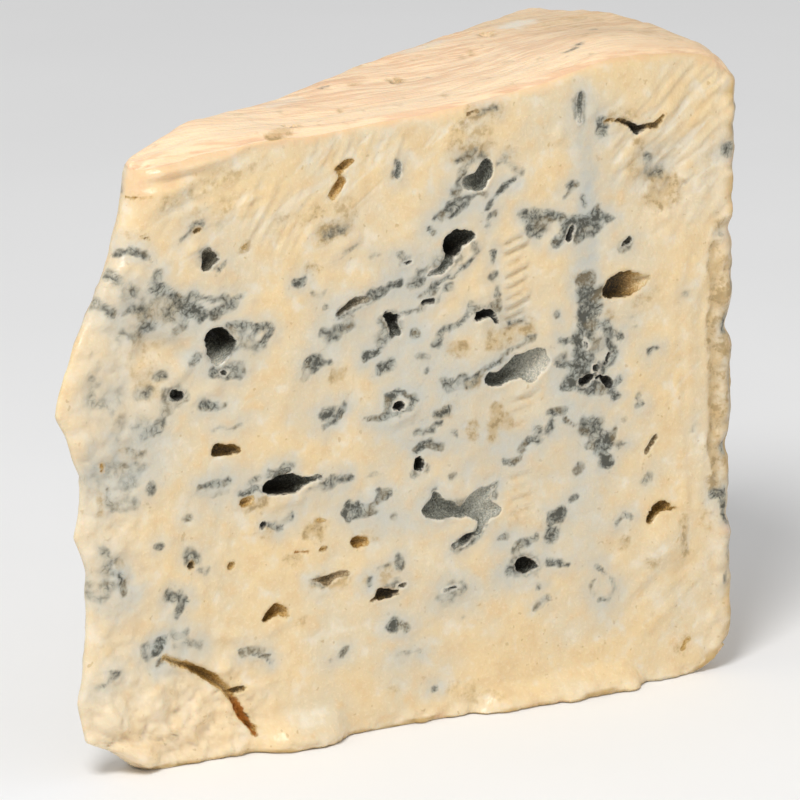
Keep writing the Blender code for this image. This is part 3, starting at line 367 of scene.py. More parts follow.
# Broad bluish, thin-skinned areas of the shown cut, in the same terms.
PALE_VEILS = ((76.2, 68.0, 2.6, 26.0, 0, 0.42), (76.8, 30.0, 5.0, 26.0, 0, 0.35),
              (50.0, 60.0, 10.0, 9.0, 20, 0.55), (47.0, 53.0, 12.0, 8.0, -10, 0.55), (50.0, 41.0, 12.0, 10.0, 0, 0.55),
              (49.0, 29.0, 14.0, 5.0, 0, 0.5), (36.0, 45.0, 8.0, 5.0, 0, 0.4), (22.0, 55.0, 11.0, 8.0, 0, 0.42),
              (7.0, 42.0, 14.0, 12.0, 0, 0.62), (6.6, 25.0, 8.0, 9.0, 0, 0.5),
              (12.0, 61.0, 14.0, 7.0, -10, 0.5), (5.0, 52.0, 7.0, 10.0, 0, 0.36), (26.0, 36.0, 14.0, 5.0, 0, 0.35),
              (36.0, 33.0, 10.0, 6.0, 0, 0.35), (60.0, 45.0, 14.0, 6.0, 14, 0.5), (66.0, 20.0, 10.0, 8.0, 0, 0.4),
              (56.0, 17.0, 8.0, 4.0, 10, 0.4), (15.0, 16.0, 9.0, 5.0, -10, 0.5), (74.0, 34.0, 14.0, 10.0, 0, 0.35),
              (40.0, 56.0, 10.0, 8.0, 10, 0.35), (57.0, 70.0, 12.0, 8.0, 20, 0.35), (74.0, 46.0, 10.0, 10.0, 0, 0.5),
              (46.0, 20.0, 8.0, 6.0, 10, 0.3), (52.0, 8.0, 10.0, 6.0, 0, 0.25), (80.0, 12.0, 6.0, 8.0, 0, 0.3),
              (61.0, 38.0, 15.0, 12.0, 0, 0.50), (53.0, 47.0, 14.0, 12.0, 0, 0.48))

# The haze that a needle's track left above the column of mould, in the same terms.
NEEDLE_VEIL = ((75.6, 79.6, 5.0, 2.2, -86, 0.6), (76.2, 74.6, 5.0, 1.8, -80, 0.85), (76.8, 70.2, 5.0, 2.2, -84, 0.95),
               (76.4, 66.6, 4.0, 2.6, 90, 0.9), (76.8, 60.6, 5.0, 3.0, 86, 0.95), (76.6, 57.4, 3.0, 2.6, 90, 0.7))

# Marks of the top rind, by place: (from the axis towards the rim, across, length, thickness, tilt, strength).
TOP_MARKS = {
    "ochre": ((31.0, -4.6, 4.2, 1.2, 8, 0.85), (27.4, -3.6, 2.0, 0.7, -10, 0.5), (31.0, 3.0, 1.4, 0.7, 0, 0.6),
              (44.5, -1.5, 1.2, 0.6, 10, 0.55), (52.0, 4.5, 2.0, 0.7, 0, 0.5), (58.0, -6.8, 1.6, 0.7, 0, 0.55),
              (66.0, 8.0, 2.4, 0.8, 12, 0.5), (72.0, 4.0, 1.6, 0.8, 0, 0.6), (83.0, -6.0, 5.0, 1.4, 6, 0.45),
              (90.0, 2.0, 10.0, 12.0, 0, 0.22), (93.0, -10.0, 8.0, 9.0, 0, 0.26)),
    "slate": ((77.0, -9.4, 3.2, 1.2, 5, 0.5), (79.4, -8.8, 1.4, 0.9, 0, 0.45), (62.0, 1.0, 1.0, 0.7, 0, 0.5),
              (48.0, 6.0, 1.2, 0.6, 0, 0.5), (87.5, -3.0, 1.6, 0.8, 20, 0.5)),
    "veil": ((85.0, 9.7, 6.0, 3.0, 10, 0.8), (70.0, 11.0, 9.0, 1.6, 8, 0.45), (40.0, 5.0, 7.0, 1.2, 8, 0.4)),
}

# Parts of the shown cut where the knife drew the paste into streaks: (along, height, length, thickness, tilt, strength).
DRAWN_PASTE = ((28.0, 73.0, 34.0, 10.0, 8, 0.62), (90.0, 74.0, 20.0, 16.0, 0, 0.9), (92.0, 12.0, 14.0, 16.0, 0, 0.4),
               (44.0, 79.0, 26.0, 5.0, 4, 0.6), (93.0, 45.0, 6.0, 60.0, 0, 0.4))

# Torn nicks of the rim where the shown cut meets it: (height, tall, deep), in mm.
RIM_NICKS = ((74.4, 2.0, 0.5), (61.0, 2.2, 0.6), (47.8, 2.8, 1.0), (31.2, 2.2, 0.9), (21.6, 2.4, 0.7))

# Marks left in the shown cut by the knife: (along, height, length, thickness, tilt) of the area, the
# way of the ridges in degrees, their spacing and their height, in mm.
KNIFE_MARKS = (
    (90.0, 76.0, 20.0, 13.0, 35, 38, 1.2, 0.20),
    (92.0, 66.0, 8.0, 10.0, 40, 52, 1.2, 0.16),
    (42.0, 78.3, 15.0, 4.0, 4, 62, 1.4, 0.20),
    (30.0, 71.5, 8.0, 12.0, 60, 58, 1.5, 0.20),
    (21.0, 74.0, 14.0, 5.0, 10, 16, 1.6, 0.20),
    (88.0, 12.0, 16.0, 8.0, 40, 40, 2.4, 0.16),
    (94.0, 40.0, 40.0, 5.0, 90, 88, 2.0, 0.16),
    (16.0, 24.0, 24.0, 12.0, 80, 86, 2.6, 0.12),
)

# Rungs that the knife's teeth pressed into the shown cut: (along, lowest height, how many, gap, tilt, how far).
KNIFE_RUNGS = ((65.9, 52.4, 9, 1.42, 22, 0.32), (66.8, 39.6, 3, 1.5, 10, 0.16), (66.5, 25.6, 5, 1.6, 8, 0.14))

# Lumps that stand out of the shown cut, or sink where the height is negative: (along, height,
# length, thickness, tilt, how far).
LUMPS = (
    (89.4, 19.4, 6.6, 6.6, 0, 1.1), (78.2, 48.3, 3.4, 3.2, 0, 0.45), (72.7, 47.2, 2.6, 2.4, 0, 0.3),
    (8.4, 2.2, 6.4, 5.0, 10, 1.9), (33.5, 0.0, 10.0, 5.0, 0, 3.2), (73.0, -1.0, 26.0, 7.0, 0, 2.7),
    (5.6, 8.6, 4.0, 5.0, 0, 0.9),
    (18.4, 8.0, 5.0, 2.2, 30, 0.5), (11.6, 10.8, 2.0, 1.9, 0, 0.55), (15.2, 4.6, 6.0, 1.3, 25, 0.5),
    (22.0, 3.4, 4.0, 2.4, 0, 0.4), (22.2, 12.6, 2.2, 2.0, 0, 0.5), (25.6, 8.6, 1.6, 2.0, 0, 0.4),
    (13.2, 56.0, 8.4, 4.0, -14, -0.9), (88.2, 69.0, 9.0, 8.0, 0, -0.8), (65.0, 52.0, 8.0, 3.6, 14, -0.5),
    (6.6, 39.5, 9.0, 7.0, 0, -0.5), (12.0, 78.8, 7.0, 2.6, 8, 0.4), (19.5, 79.6, 9.0, 1.4, 5, 0.25),
    (17.6, 69.0, 1.9, 1.5, 0, 0.5), (14.4, 52.0, 6.0, 1.6, 40, 0.5), (19.0, 49.6, 5.0, 1.4, 20, 0.3),
    (28.0, 56.2, 2.0, 1.2, 40, 0.35), (31.4, 33.2, 5.0, 0.9, 8, 0.4), (48.8, 42.0, 3.6, 0.8, 24, 0.35),
    (67.8, 43.6, 3.2, 1.0, 8, 0.45), (58.6, 62.2, 4.0, 1.4, 36, 0.4), (40.6, 66.4, 3.0, 1.0, 15, 0.3),
    (30.2, 17.0, 3.4, 1.1, 16, 0.4), (70.4, 63.9, 2.6, 1.0, 8, -0.5), (60.6, 56.6, 3.0, 2.0, 0, 0.3),
    (22.6, 16.6, 5.0, 1.6, -12, 0.5), (72.2, 77.2, 1.6, 1.8, 0, 0.4), (77.4, 79.4, 1.4, 1.6, 0, 0.3),
    (56.4, 16.8, 4.0, 1.6, 12, 0.25), (38.0, 20.8, 4.4, 1.0, 10, 0.3),
    (52.0, 33.0, 3.6, 2.0, 0, 0.25), (96.9, 42.5, 33.0, 1.0, 91, -0.45), (98.6, 66.0, 3.0, 8.0, 0, 0.5),
    (98.4, 52.5, 2.4, 5.0, 0, 0.45), (98.3, 38.0, 2.6, 7.0, 0, 0.5), (98.2, 16.0, 2.6, 8.0, 0, 0.4),
)


def smooth(x):
    """Eases from 0 to 1 as x goes from 0 to 1."""
    x = np.clip(x, 0.0, 1.0)
    return x * x * (3.0 - 2.0 * x)


def noise_at(points, size, seed):
    """Soft noise between about -1 and 1 at each of the points, with features of the given size."""
    offset = np.array((seed * 7.31, seed * 3.17, seed * 5.73))
    return np.array([noise.noise(p) for p in (points / size + offset).tolist()])


def flat_points(s, z, level=0.0):
    """Points of a cut face as an array that noise_at takes."""
    return np.stack((s, np.full_like(s, level), z), axis=1)


def top_height(r, across):
    """Height of the top rind: sunk at the wheel's middle, swollen near the front of the rim."""
    height = TOP_MIDDLE + TOP_RIM_RISE * smooth((r - 40.0) / 42.0)
    height = height - TOP_TIP_DROP * (1.0 - smooth(r / 24.0))
    swell = np.exp(-(((r - 83.0) / 11.0) ** 2))
    height = height + TOP_SWELL * swell * smooth((0.3 - across) / 1.2)
    height = height + TOP_BACK_LIFT * smooth(across + 0.2) * smooth((r - 14.0) / 12.0) * (1.0 - smooth((r - 56.0) / 18.0))
    return height + TOP_BACK_RISE * smooth((r - 66.0) / 26.0) * (1.0 - across * across)


def top_shoulder(across):
    """Radius of the rim's top shoulder: wide at the shown cut, tight towards the back."""
    return TOP_SHOULDER_BACK + (TOP_SHOULDER - TOP_SHOULDER_BACK) * smooth(-across)


def nose_distance(z):
    """Distance from the wheel's axis at which the broken tip begins."""
    start = np.interp(z, [pair[0] for pair in NOSE_PROFILE], [pair[1] for pair in NOSE_PROFILE])
    ragged = np.array([noise.noise((3.1, 0.0, height / 7.5)) for height in z.tolist()])
    return start + NOSE_RAGGEDNESS * ragged


def round_shoulders(r, z, rim, top, shoulder):
    """Turns the square corners of the rim into the wheel's rounded shoulders."""
    for radius, centre_z, way in ((shoulder, top - shoulder, 1.0), (BASE_SHOULDER, BASE_SHOULDER, -1.0)):
        dr = r - (rim - radius)
        dz = (z - centre_z) * way
        corner = (dr > 0.0) & (dz > 0.0)
        reach = np.maximum(dr, dz)
        length = np.where(corner, np.hypot(dr, dz), 1.0)
        r = np.where(corner, rim - radius + dr / length * reach, r)
        z = np.where(corner, centre_z + dz / length * reach * way, z)
    return r, z


def depth_under_rind(r, z, rim, top, shoulder):
    """Distance to the rind, and the way out to it as shares of the radial way and of up."""
    gaps = np.stack((top - z, rim - r, z))
    nearest = np.argmin(gaps, axis=0)
    depth = np.min(gaps, axis=0)
    way_r = (nearest == 1).astype(float)
    way_z = np.where(nearest == 0, 1.0, np.where(nearest == 2, -1.0, 0.0))
    for radius, centre_z, way in ((shoulder, top - shoulder, 1.0), (BASE_SHOULDER, BASE_SHOULDER, -1.0)):
        dr = r - (rim - radius)
        dz = (z - centre_z) * way
        corner = (dr > 0.0) & (dz > 0.0)
        length = np.where(corner, np.hypot(dr, dz), 1.0)
        depth = np.where(corner, radius - length, depth)
        way_r = np.where(corner, dr / length, way_r)
        way_z = np.where(corner, dz / length * way, way_z)
    return np.maximum(depth, 0.0), way_r, way_z


def crowded(share, amount):
    """Moves the shares of a division towards both ends."""
    eased = 0.5 - 0.5 * np.cos(np.pi * share)
    return share + (eased - share) * amount


def skin_rings(ni, nj, nk):
    """Side name and grid corners of every face: i from tip to rim, j from front to back, k up."""
    for i in range(ni):
        for k in range(nk):
            yield "front", ((i, 0, k), (i + 1, 0, k), (i + 1, 0, k + 1), (i, 0, k + 1))
        for j in range(nj - 1):
            yield "top", ((i, j, nk), (i + 1, j, nk), (i + 1, j + 1, nk), (i, j + 1, nk))
            yield "base", ((i, j, 0), (i, j + 1, 0), (i + 1, j + 1, 0), (i + 1, j, 0))
    for j in range(nj - 1):
        for k in range(nk):
            yield "rim", ((ni, j, k), (ni, j + 1, k), (ni, j + 1, k + 1), (ni, j, k + 1))
    # The back cut takes every second line, so each face that meets it has a corner more.
    for i in range(0, ni, 2):
        for k in range(0, nk, 2):
            yield "back", ((i, nj, k), (0 if i == 0 else i, nj, k + 1 if i == 0 else k), (i, nj, k + 2),
                           (i + 2, nj, k + 2), (i + 2, nj, k))
        last = nj - 1
        yield "top", ((i, last, nk), (i + 1, last, nk), (i + 2, last, nk), (i + 2, nj, nk), (i, nj, nk))
        yield "base", ((i, nj, 0), (i + 2, nj, 0), (i + 2, last, 0), (i + 1, last, 0), (i, last, 0))
    for k in range(0, nk, 2):
        last = nj - 1
        yield "rim", ((ni, last, k), (ni, nj, k), (ni, nj, k + 2), (ni, last, k + 2), (ni, last, k + 1))


def cut_ways(side):
    """Directions of a cut face: along it from the axis, up it, and out of it. side is -1 or +1."""
    along = np.array((math.cos(HALF_ANGLE), side * math.sin(HALF_ANGLE), 0.0))
    up = np.array((0.0, 0.0, 1.0))
    out = np.array((-math.sin(HALF_ANGLE), side * math.cos(HALF_ANGLE), 0.0))
    return along, up, out


def turned(s, z, centre_s, centre_z, tilt):
    """Coordinates along and across a mark that is tilted about its centre."""
    turn = math.radians(tilt)
    du = s - centre_s
    dv = z - centre_z
    return du * math.cos(turn) + dv * math.sin(turn), dv * math.cos(turn) - du * math.sin(turn)


def mark_distance(s, z, mark):
    """Distance outside a round-ended bar (along, height, length, thickness, tilt); negative inside."""
    centre_s, centre_z, length, thick, tilt = mark
    if thick > length:
        length, thick, tilt = thick, length, tilt + 90.0
    u, v = turned(s, z, centre_s, centre_z, tilt)
    straight = 0.5 * (length - thick)
    return np.hypot(np.maximum(np.abs(u) - straight, 0.0), v) - 0.5 * thick


def outline_distance(s, z, outline):
    """Distance outside a closed outline, negative inside, and the way to its nearest point."""
    best = np.full(s.shape, 1e9)
    to_s = np.zeros_like(s)
    to_z = np.zeros_like(s)
    inside = np.zeros(s.shape, bool)
    for (s0, z0), (s1, z1) in zip(outline, outline[1:] + outline[:1]):
        ds, dz = s1 - s0, z1 - z0
        share = np.clip(((s - s0) * ds + (z - z0) * dz) / (ds * ds + dz * dz), 0.0, 1.0)
        gap_s = s0 + share * ds - s
        gap_z = z0 + share * dz - z
        gap = np.hypot(gap_s, gap_z)
        nearer = gap < best
        best = np.where(nearer, gap, best)
        to_s = np.where(nearer, gap_s, to_s)
        to_z = np.where(nearer, gap_z, to_z)
        if z0 != z1:
            crosses = ((z0 > z) != (z1 > z)) & (s < s0 + (z - z0) * ds / dz)
            inside ^= crosses
    length = np.maximum(best, 1e-6)
    return np.where(inside, -best, best), to_s / length, to_z / length


def rounded_outline(outline):
    """Cuts every corner of an outline once, so that straight runs meet in soft corners."""
    points = []
    for (s0, z0), (s1, z1) in zip(outline, outline[1:] + outline[:1]):
        points.append((0.8 * s0 + 0.2 * s1, 0.8 * z0 + 0.2 * z1))
        points.append((0.2 * s0 + 0.8 * s1, 0.2 * z0 + 0.8 * z1))
    return tuple(points)


class CutFace:
    """One cut face: its vertices' places, and what the holes, mould and knife do to each."""

    WALL = 0.6
    UNDERCUT = 0.45

    def __init__(self, s, z, seed):
        self.s = s
        self.z = z
        self.seed = seed
        flat = flat_points(s, z, seed)
        ragged_s = noise_at(flat, 1.1, 1) * 0.16 + noise_at(flat, 0.5, 2) * 0.05
        ragged_z = noise_at(flat, 1.1, 3) * 0.16 + noise_at(flat, 0.5, 4) * 0.05
        self.edge_s = s + ragged_s
        self.edge_z = z + ragged_z
        self.wild_s = s + ragged_s * 2.2 + noise_at(flat, 2.4, 5) * 0.5
        self.wild_z = z + ragged_z * 2.2 + noise_at(flat, 2.4, 6) * 0.5
        self.flat = flat
        self.hole = np.full(s.shape, 3.0)
        self.lining = np.full(s.shape, 0.5)
        self.amber = np.zeros(s.shape)
        self.depth = np.zeros(s.shape)
        self.slide_s = np.zeros(s.shape)
        self.slide_z = np.zeros(s.shape)
        self.relief = np.zeros(s.shape)

    def take(self, near, distance, to_s, to_z, deep, tone, amber):
        """Takes one hole out of the face: the nearest hole sets the lining, the deepest the depth."""
        wall = smooth(-distance / self.WALL)
        depth = deep * wall
        deeper = depth > self.depth[near]
        self.depth[near] = np.where(deeper, depth, self.depth[near])
        slide = self.UNDERCUT * smooth(-distance / 0.3) * smooth((1.2 + distance) / 1.2) * (deep > 1.4)
        self.slide_s[near] = np.where(deeper, to_s * slide, self.slide_s[near])
        self.slide_z[near] = np.where(deeper, to_z * slide, self.slide_z[near])
        closer = distance < self.hole[near]
        self.hole[near] = np.where(closer, distance, self.hole[near])
        self.lining[near] = np.where(closer, tone, self.lining[near])
        self.amber[near] = np.where(closer, amber, self.amber[near])

    def take_outline(self, outline, deep, tone_deep, tone_end, lit_way, amber):
        """Takes out a hole whose mouth has the given outline."""
        outline = rounded_outline(outline)
        ss = np.array([p[0] for p in outline])
        zz = np.array([p[1] for p in outline])
        near = np.nonzero((self.edge_s > ss.min() - 3) & (self.edge_s < ss.max() + 3)
                          & (self.edge_z > zz.min() - 3) & (self.edge_z < zz.max() + 3))[0]
        s, z = self.edge_s[near], self.edge_z[near]
        distance, to_s, to_z = outline_distance(s, z, outline)
        u, _ = turned(s, z, 0.5 * (ss.min() + ss.max()), 0.5 * (zz.min() + zz.max()), lit_way)
        turn = math.radians(lit_way)
        reach = 0.5 * (abs(math.cos(turn)) * np.ptp(ss) + abs(math.sin(turn)) * np.ptp(zz))
        # The lining pales towards the given side: painted light on that side of the hole, painted shade on the other.
        lit_share = smooth((u / reach + 0.35) / 1.3)
        tone = tone_deep + (tone_end - tone_deep) * lit_share
        self.take(near, distance, to_s, to_z, deep * (1.0 - 0.5 * lit_share), tone, amber)

    def take_pit(self, s0, z0, length, thick, tilt, deep, tone_deep, tone_end, lit_way, amber):
        """Takes out a small round-ended hole."""
        near = np.nonzero(np.hypot(self.edge_s - s0, self.edge_z - z0) < length + 3)[0]
        s, z = self.edge_s[near], self.edge_z[near]
        distance = mark_distance(s, z, (s0, z0, length, thick, tilt))
        u, _ = turned(s, z, s0, z0, lit_way)
        # The same painted light and shade across a small hole.
        lit_share = smooth((u / (0.5 * length) + 0.35) / 1.3)
        tone = tone_deep + (tone_end - tone_deep) * lit_share
        still = np.zeros_like(s)
        self.take(near, distance, still, still, deep * (1.0 - 0.4 * lit_share), tone, amber)

    def take_crack(self, line, widths, tones, ambers, deep):
        """Takes out a crack that follows a line, with its width, tone and amber given at each corner."""
        s, z = self.edge_s, self.edge_z
        best = np.full(s.shape, 1e9)
        tone = np.zeros(s.shape)
        amber = np.zeros(s.shape)
        for n in range(len(line) - 1):
            (s0, z0), (s1, z1) = line[n], line[n + 1]
            ds, dz = s1 - s0, z1 - z0
            share = np.clip(((s - s0) * ds + (z - z0) * dz) / (ds * ds + dz * dz), 0.0, 1.0)
            half = 0.5 * (widths[n] + (widths[n + 1] - widths[n]) * share)
            gap = np.hypot(s0 + share * ds - s, z0 + share * dz - z) - half
            nearer = gap < best
            best = np.where(nearer, gap, best)
            tone = np.where(nearer, tones[n] + (tones[n + 1] - tones[n]) * share, tone)
            amber = np.where(nearer, ambers[n] + (ambers[n + 1] - ambers[n]) * share, amber)
        near = np.nonzero(best < 3.0)[0]
        still = np.zeros(near.shape)
        self.take(near, best[near], still, still, deep, tone[near], amber[near])

    def stain(self, marks, softness, tuck=0.0):
        """Strength of a stain made of soft marks; the slim ones are tucked in, so that they stay slim."""
        s, z = self.wild_s, self.wild_z
        total = np.zeros(s.shape)
        for *bar, strength in marks:
            near = np.nonzero(np.hypot(self.s - bar[0], self.z - bar[1]) < 0.5 * max(bar[2], bar[3]) + 3 + softness)[0]
            slim = min(1.0, max(0.0, (2.0 - min(bar[2], bar[3])) / 1.2))
            gap = mark_distance(s[near], z[near], bar) + tuck * slim
            inner = 0.30 * min(bar[2], bar[3])
            value = strength * (1.0 - smooth((gap + inner) / (inner + softness)))
            total[near] = np.maximum(total[near], value)
        return total

    def add_knife_marks(self, marks, strength):
        """Raises the ridges that the knife dragged."""
        for s0, z0, length, thick, tilt, way, spacing, height in marks:
            gap = mark_distance(self.s, self.z, (s0, z0, length, thick, tilt))
            near = np.nonzero(gap < 1.5)[0]
            u, v = turned(self.s[near], self.z[near], s0, z0, way)
            waves = noise_at(np.stack((u / 6.0, np.full_like(u, spacing), v * 1.6 / spacing), axis=1), 1.0, 8)
            self.relief[near] += strength * height * 1.6 * waves * (1.0 - smooth((gap[near] + 1.0) / 2.5))

    def add_lumps(self, lumps, strength):
        """Raises lumps, or sinks dips where the height is negative."""
        for *bar, height in lumps:
            near = np.nonzero(np.hypot(self.s - bar[0], self.z - bar[1]) < max(bar[2], bar[3]) + 4)[0]
            gap = mark_distance(self.edge_s[near], self.edge_z[near], bar)
            thin = min(bar[2], bar[3])
            self.relief[near] += strength * height * (1.0 - smooth((gap + 0.35 * thin + 0.3) / max(1.6, 0.6 * thin, 1.6 * abs(height))))

    def add_rung(self, s0, z0, length, tilt, height):
        """Raises one short rung with a dip under it, painting a highlight on the rung and a butter-yellow shadow in the
        dip.
        """
        # The veil field takes the rung's painted highlight, and the ochre field the painted shadow under it.
        for below, lift, field in ((0.0, height, self.veil), (0.7, -0.7 * height, self.ochre)):
            gap = mark_distance(self.s, self.z, (s0, z0 - below, length, 0.35, tilt))
            near = np.nonzero(gap < 0.9)[0]
            share = 1.0 - smooth((gap[near] + 0.1) / 0.6)
            self.relief[near] += lift * share
            field[near] = np.maximum(field[near], (0.25 if below == 0.0 else 0.28) * share)

    def add_crumble(self, amount):
        """Breaks the face into crumbs where amount is above 0."""
        near = np.nonzero(amount > 0.02)[0]
        for size, height in ((3.6, 0.75), (1.5, 0.26)):
            points = (self.flat[near] + noise_at(self.flat[near], 2.0, 9)[:, None] * 0.7) / size
            lumps = []
            for p in points.tolist():
                distances = noise.voronoi(p)[0]
                lumps.append(min(1.0, 2.2 * (distances[1] - distances[0])) - 0.5)
            self.relief[near] += np.array(lumps) * height * amount[near]
        for size, height, seed in ((4.4, 0.75, 14), (2.0, 0.45, 15), (1.0, 0.32, 16)):
            self.relief[near] += noise_at(self.flat[near], size, seed) * height * amount[near]


def scattered_hollows():
    """Hollows of the back cut: lens shapes lying near level, kept apart from one another."""
    rng = random.Random(BACK_SEED)
    found = []
    tries = 0
    while len(found) < BACK_HOLLOWS and tries < 4000:
        tries += 1
        s = rng.uniform(14.0, 100.0 - BACK_MARGIN)
        z = rng.uniform(BACK_MARGIN, TOP_MIDDLE - BACK_MARGIN)
        if any(math.hypot(s - other[0], (z - other[1]) * 1.25) < BACK_SPACING for other in found):
            continue
        width = rng.uniform(2.4, 4.6) * (1.0 + 0.9 * rng.random() ** 4)
        tall = width * rng.uniform(0.4, 0.75)
        found.append((s, z, width, tall, rng.uniform(1.2, 2.8), rng.uniform(-12.0, 26.0)))
    return found


def lens_outline(rng, s0, z0, width, tall, tilt):
    """Irregular lens of ten corners round a centre."""
    turn = math.radians(tilt)
    points = []
    for n in range(10):
        angle = 2.0 * math.pi * n / 10
        reach = rng.uniform(0.78, 1.2)
        u = 0.5 * width * math.cos(angle) * reach
        v = 0.5 * tall * math.sin(angle) * reach
        points.append((s0 + u * math.cos(turn) - v * math.sin(turn), z0 + u * math.sin(turn) + v * math.cos(turn)))
    return tuple(points)


def front_face(s, z, settings):
    """The shown cut, with the holes, cracks and mould of its lists."""
    face = CutFace(s, z, 0.0)
    for outline, *finish in HOLES.values():
        face.take_outline(outline, *finish)
    for pit in PITS.values():
        face.take_pit(*pit)
    for crack in CRACKS.values():
        face.take_crack(*crack)
    slate = [mark for marks in SLATE_MOULD.values() for mark in marks]
    face.slate = face.stain(slate, 0.76, 0.20)
    face.haze = face.stain(slate, 2.6)
    face.ochre = face.stain([mark for marks in OCHRE_STAINS_AND_SHADOWS.values() for mark in marks], 1.2)
    face.veil = np.minimum(1.25 * face.stain(PALE_VEILS, 3.0), 0.85)
    face.veil = np.maximum(face.veil, face.stain(NEEDLE_VEIL, 1.5))
    face.drawn = face.stain(DRAWN_PASTE, 4.0)
    face.add_knife_marks(KNIFE_MARKS, settings.knife_marks)
    face.add_lumps(LUMPS, settings.lumps)
    for along, lowest, rungs, gap, tilt, height in KNIFE_RUNGS:
        for n in range(rungs):
            uneven = 0.5 + 0.5 * math.sin(2.4 * n + along)
            face.add_rung(along - 0.06 * n + 0.5 * uneven, lowest + gap * (n + 0.25 * uneven), 2.2 + 0.9 * uneven, tilt,
                          height * (0.5 + 0.8 * uneven) * settings.knife_marks)
    return face


def back_face(s, z, settings):
    """The other cut: scattered holes, each in its own patch of mould, and one needle's column."""
    face = CutFace(s, z, 5.0)
    rng = random.Random(BACK_SEED + 1)
    slate, ochre, veils = [], [], []
    for s0, z0, width, tall, deep, tilt in scattered_hollows():
        kind = rng.random()
        amber = 1.0 if kind < 0.22 else 0.0
        outline = lens_outline(rng, s0, z0, width, tall, tilt)
        if kind < 0.82:
            tone = 0.35 if amber else 0.02
            face.take_outline(outline, deep * 1.2, tone, rng.uniform(0.4, 0.9), rng.uniform(-140, 20), amber)
        if not amber:
            slate.append((s0, z0, width * 1.7, tall * 1.5, tilt + rng.uniform(-10, 10), 0.6))
            veils.append((s0, z0, width * 2.6, tall * 3.0, tilt, 0.45))
            for _ in range(rng.randint(2, 5)):
                away = rng.uniform(0.5, 1.1) * width
                turn = math.radians(tilt + rng.choice((0, 180)) + rng.uniform(-40, 40))
                slate.append((s0 + away * math.cos(turn), z0 + away * math.sin(turn), rng.uniform(1.2, 4.0),
                              rng.uniform(0.5, 1.2), tilt + rng.uniform(-25, 35), rng.uniform(0.6, 0.95)))
    for _ in range(150):
        s0, z0 = rng.uniform(8, 94), rng.uniform(8, 78)
        way = rng.uniform(-10, 30)
        strength = rng.uniform(0.35, 0.95)
        for step in range(rng.randint(1, 4)):
            slate.append((s0, z0, rng.uniform(0.8, 3.6), rng.uniform(0.5, 1.3), way + rng.uniform(-20, 20), strength))
            s0 += rng.uniform(0.8, 2.4)
            z0 += rng.uniform(-0.6, 1.4)
    for _ in range(40):
        ochre.append((rng.uniform(6, 95), rng.uniform(6, 80), rng.uniform(1.0, 4.5), rng.uniform(0.6, 1.8),
                      rng.uniform(-10, 30), rng.uniform(0.4, 0.8)))
    for step in range(34):
        height = 8.0 + step * 2.1
        slate.append((61.0 + rng.uniform(-0.9, 0.9), height, rng.uniform(1.2, 3.0), rng.uniform(0.8, 1.8),
                      rng.uniform(0, 180), rng.uniform(0.45, 1.0) * (1.0 if 26 < height < 62 else 0.55)))
    veils += [(61.0, 44.0, 5.0, 70.0, 0, 0.6), (30.0, 40.0, 40.0, 30.0, 10, 0.25), (8.0, 40.0, 14.0, 50.0, 0, 0.4)]
    face.slate = face.stain(slate, 0.76, 0.20)
    face.haze = face.stain(slate, 2.6)
    face.ochre = face.stain(ochre, 0.9)
    face.veil = face.stain(veils, 3.0)
    face.drawn = face.stain(((48, 70, 90, 20, 0, 0.6), (88, 40, 14, 70, 0, 0.5)), 6.0)
    face.add_knife_marks(((48, 42, 90, 60, 20, 24, 3.2, 0.14), (88, 60, 20, 40, 80, 40, 1.6, 0.18),
                          (40, 76, 50, 6, 3, 60, 1.5, 0.16), (73.0, 40, 3.0, 50, 0, 6, 0.8, 0.07)), settings.knife_marks)
    return face


def wedge_vertices(settings):
    """Grid corners, faces and sides of the skin."""
    ni, nj, nk = CELLS_ALONG, CELLS_ACROSS, CELLS_UP
    corners = {}
    rings = []
    sides = []
    for side, quad in skin_rings(ni, nj, nk):
        ring = dict.fromkeys((i, j if i else 0, k) for i, j, k in quad)
        rings.append([corners.setdefault(index, len(corners)) for index in ring])
        sides.append(side)
    grid = np.array(list(corners))
    return grid, rings, sides


def lip_height(r):
    """How far the top rind's lip hangs over the shown cut: most at the tip."""
    return 1.9 + 4.2 * (1.0 - smooth((r - 11.0) / 15.0))


def rind_cover(r, z, depth, way_r, way_z, on_front):
    """How far the rind's own skin reaches over the cuts: widest over the tip's shoulder and at the rim."""
    over_top = np.where(on_front, lip_height(r), 0.9)
    reach = np.where(way_z > 0.3, over_top, np.where(way_r > 0.5, 2.4, 0.6))
    ragged = noise_at(np.stack((r / 3.4, depth * 0.0, z / 1.4), axis=1), 1.0, 31)
    return smooth((reach + 0.9 * ragged - depth) / (0.9 * reach))


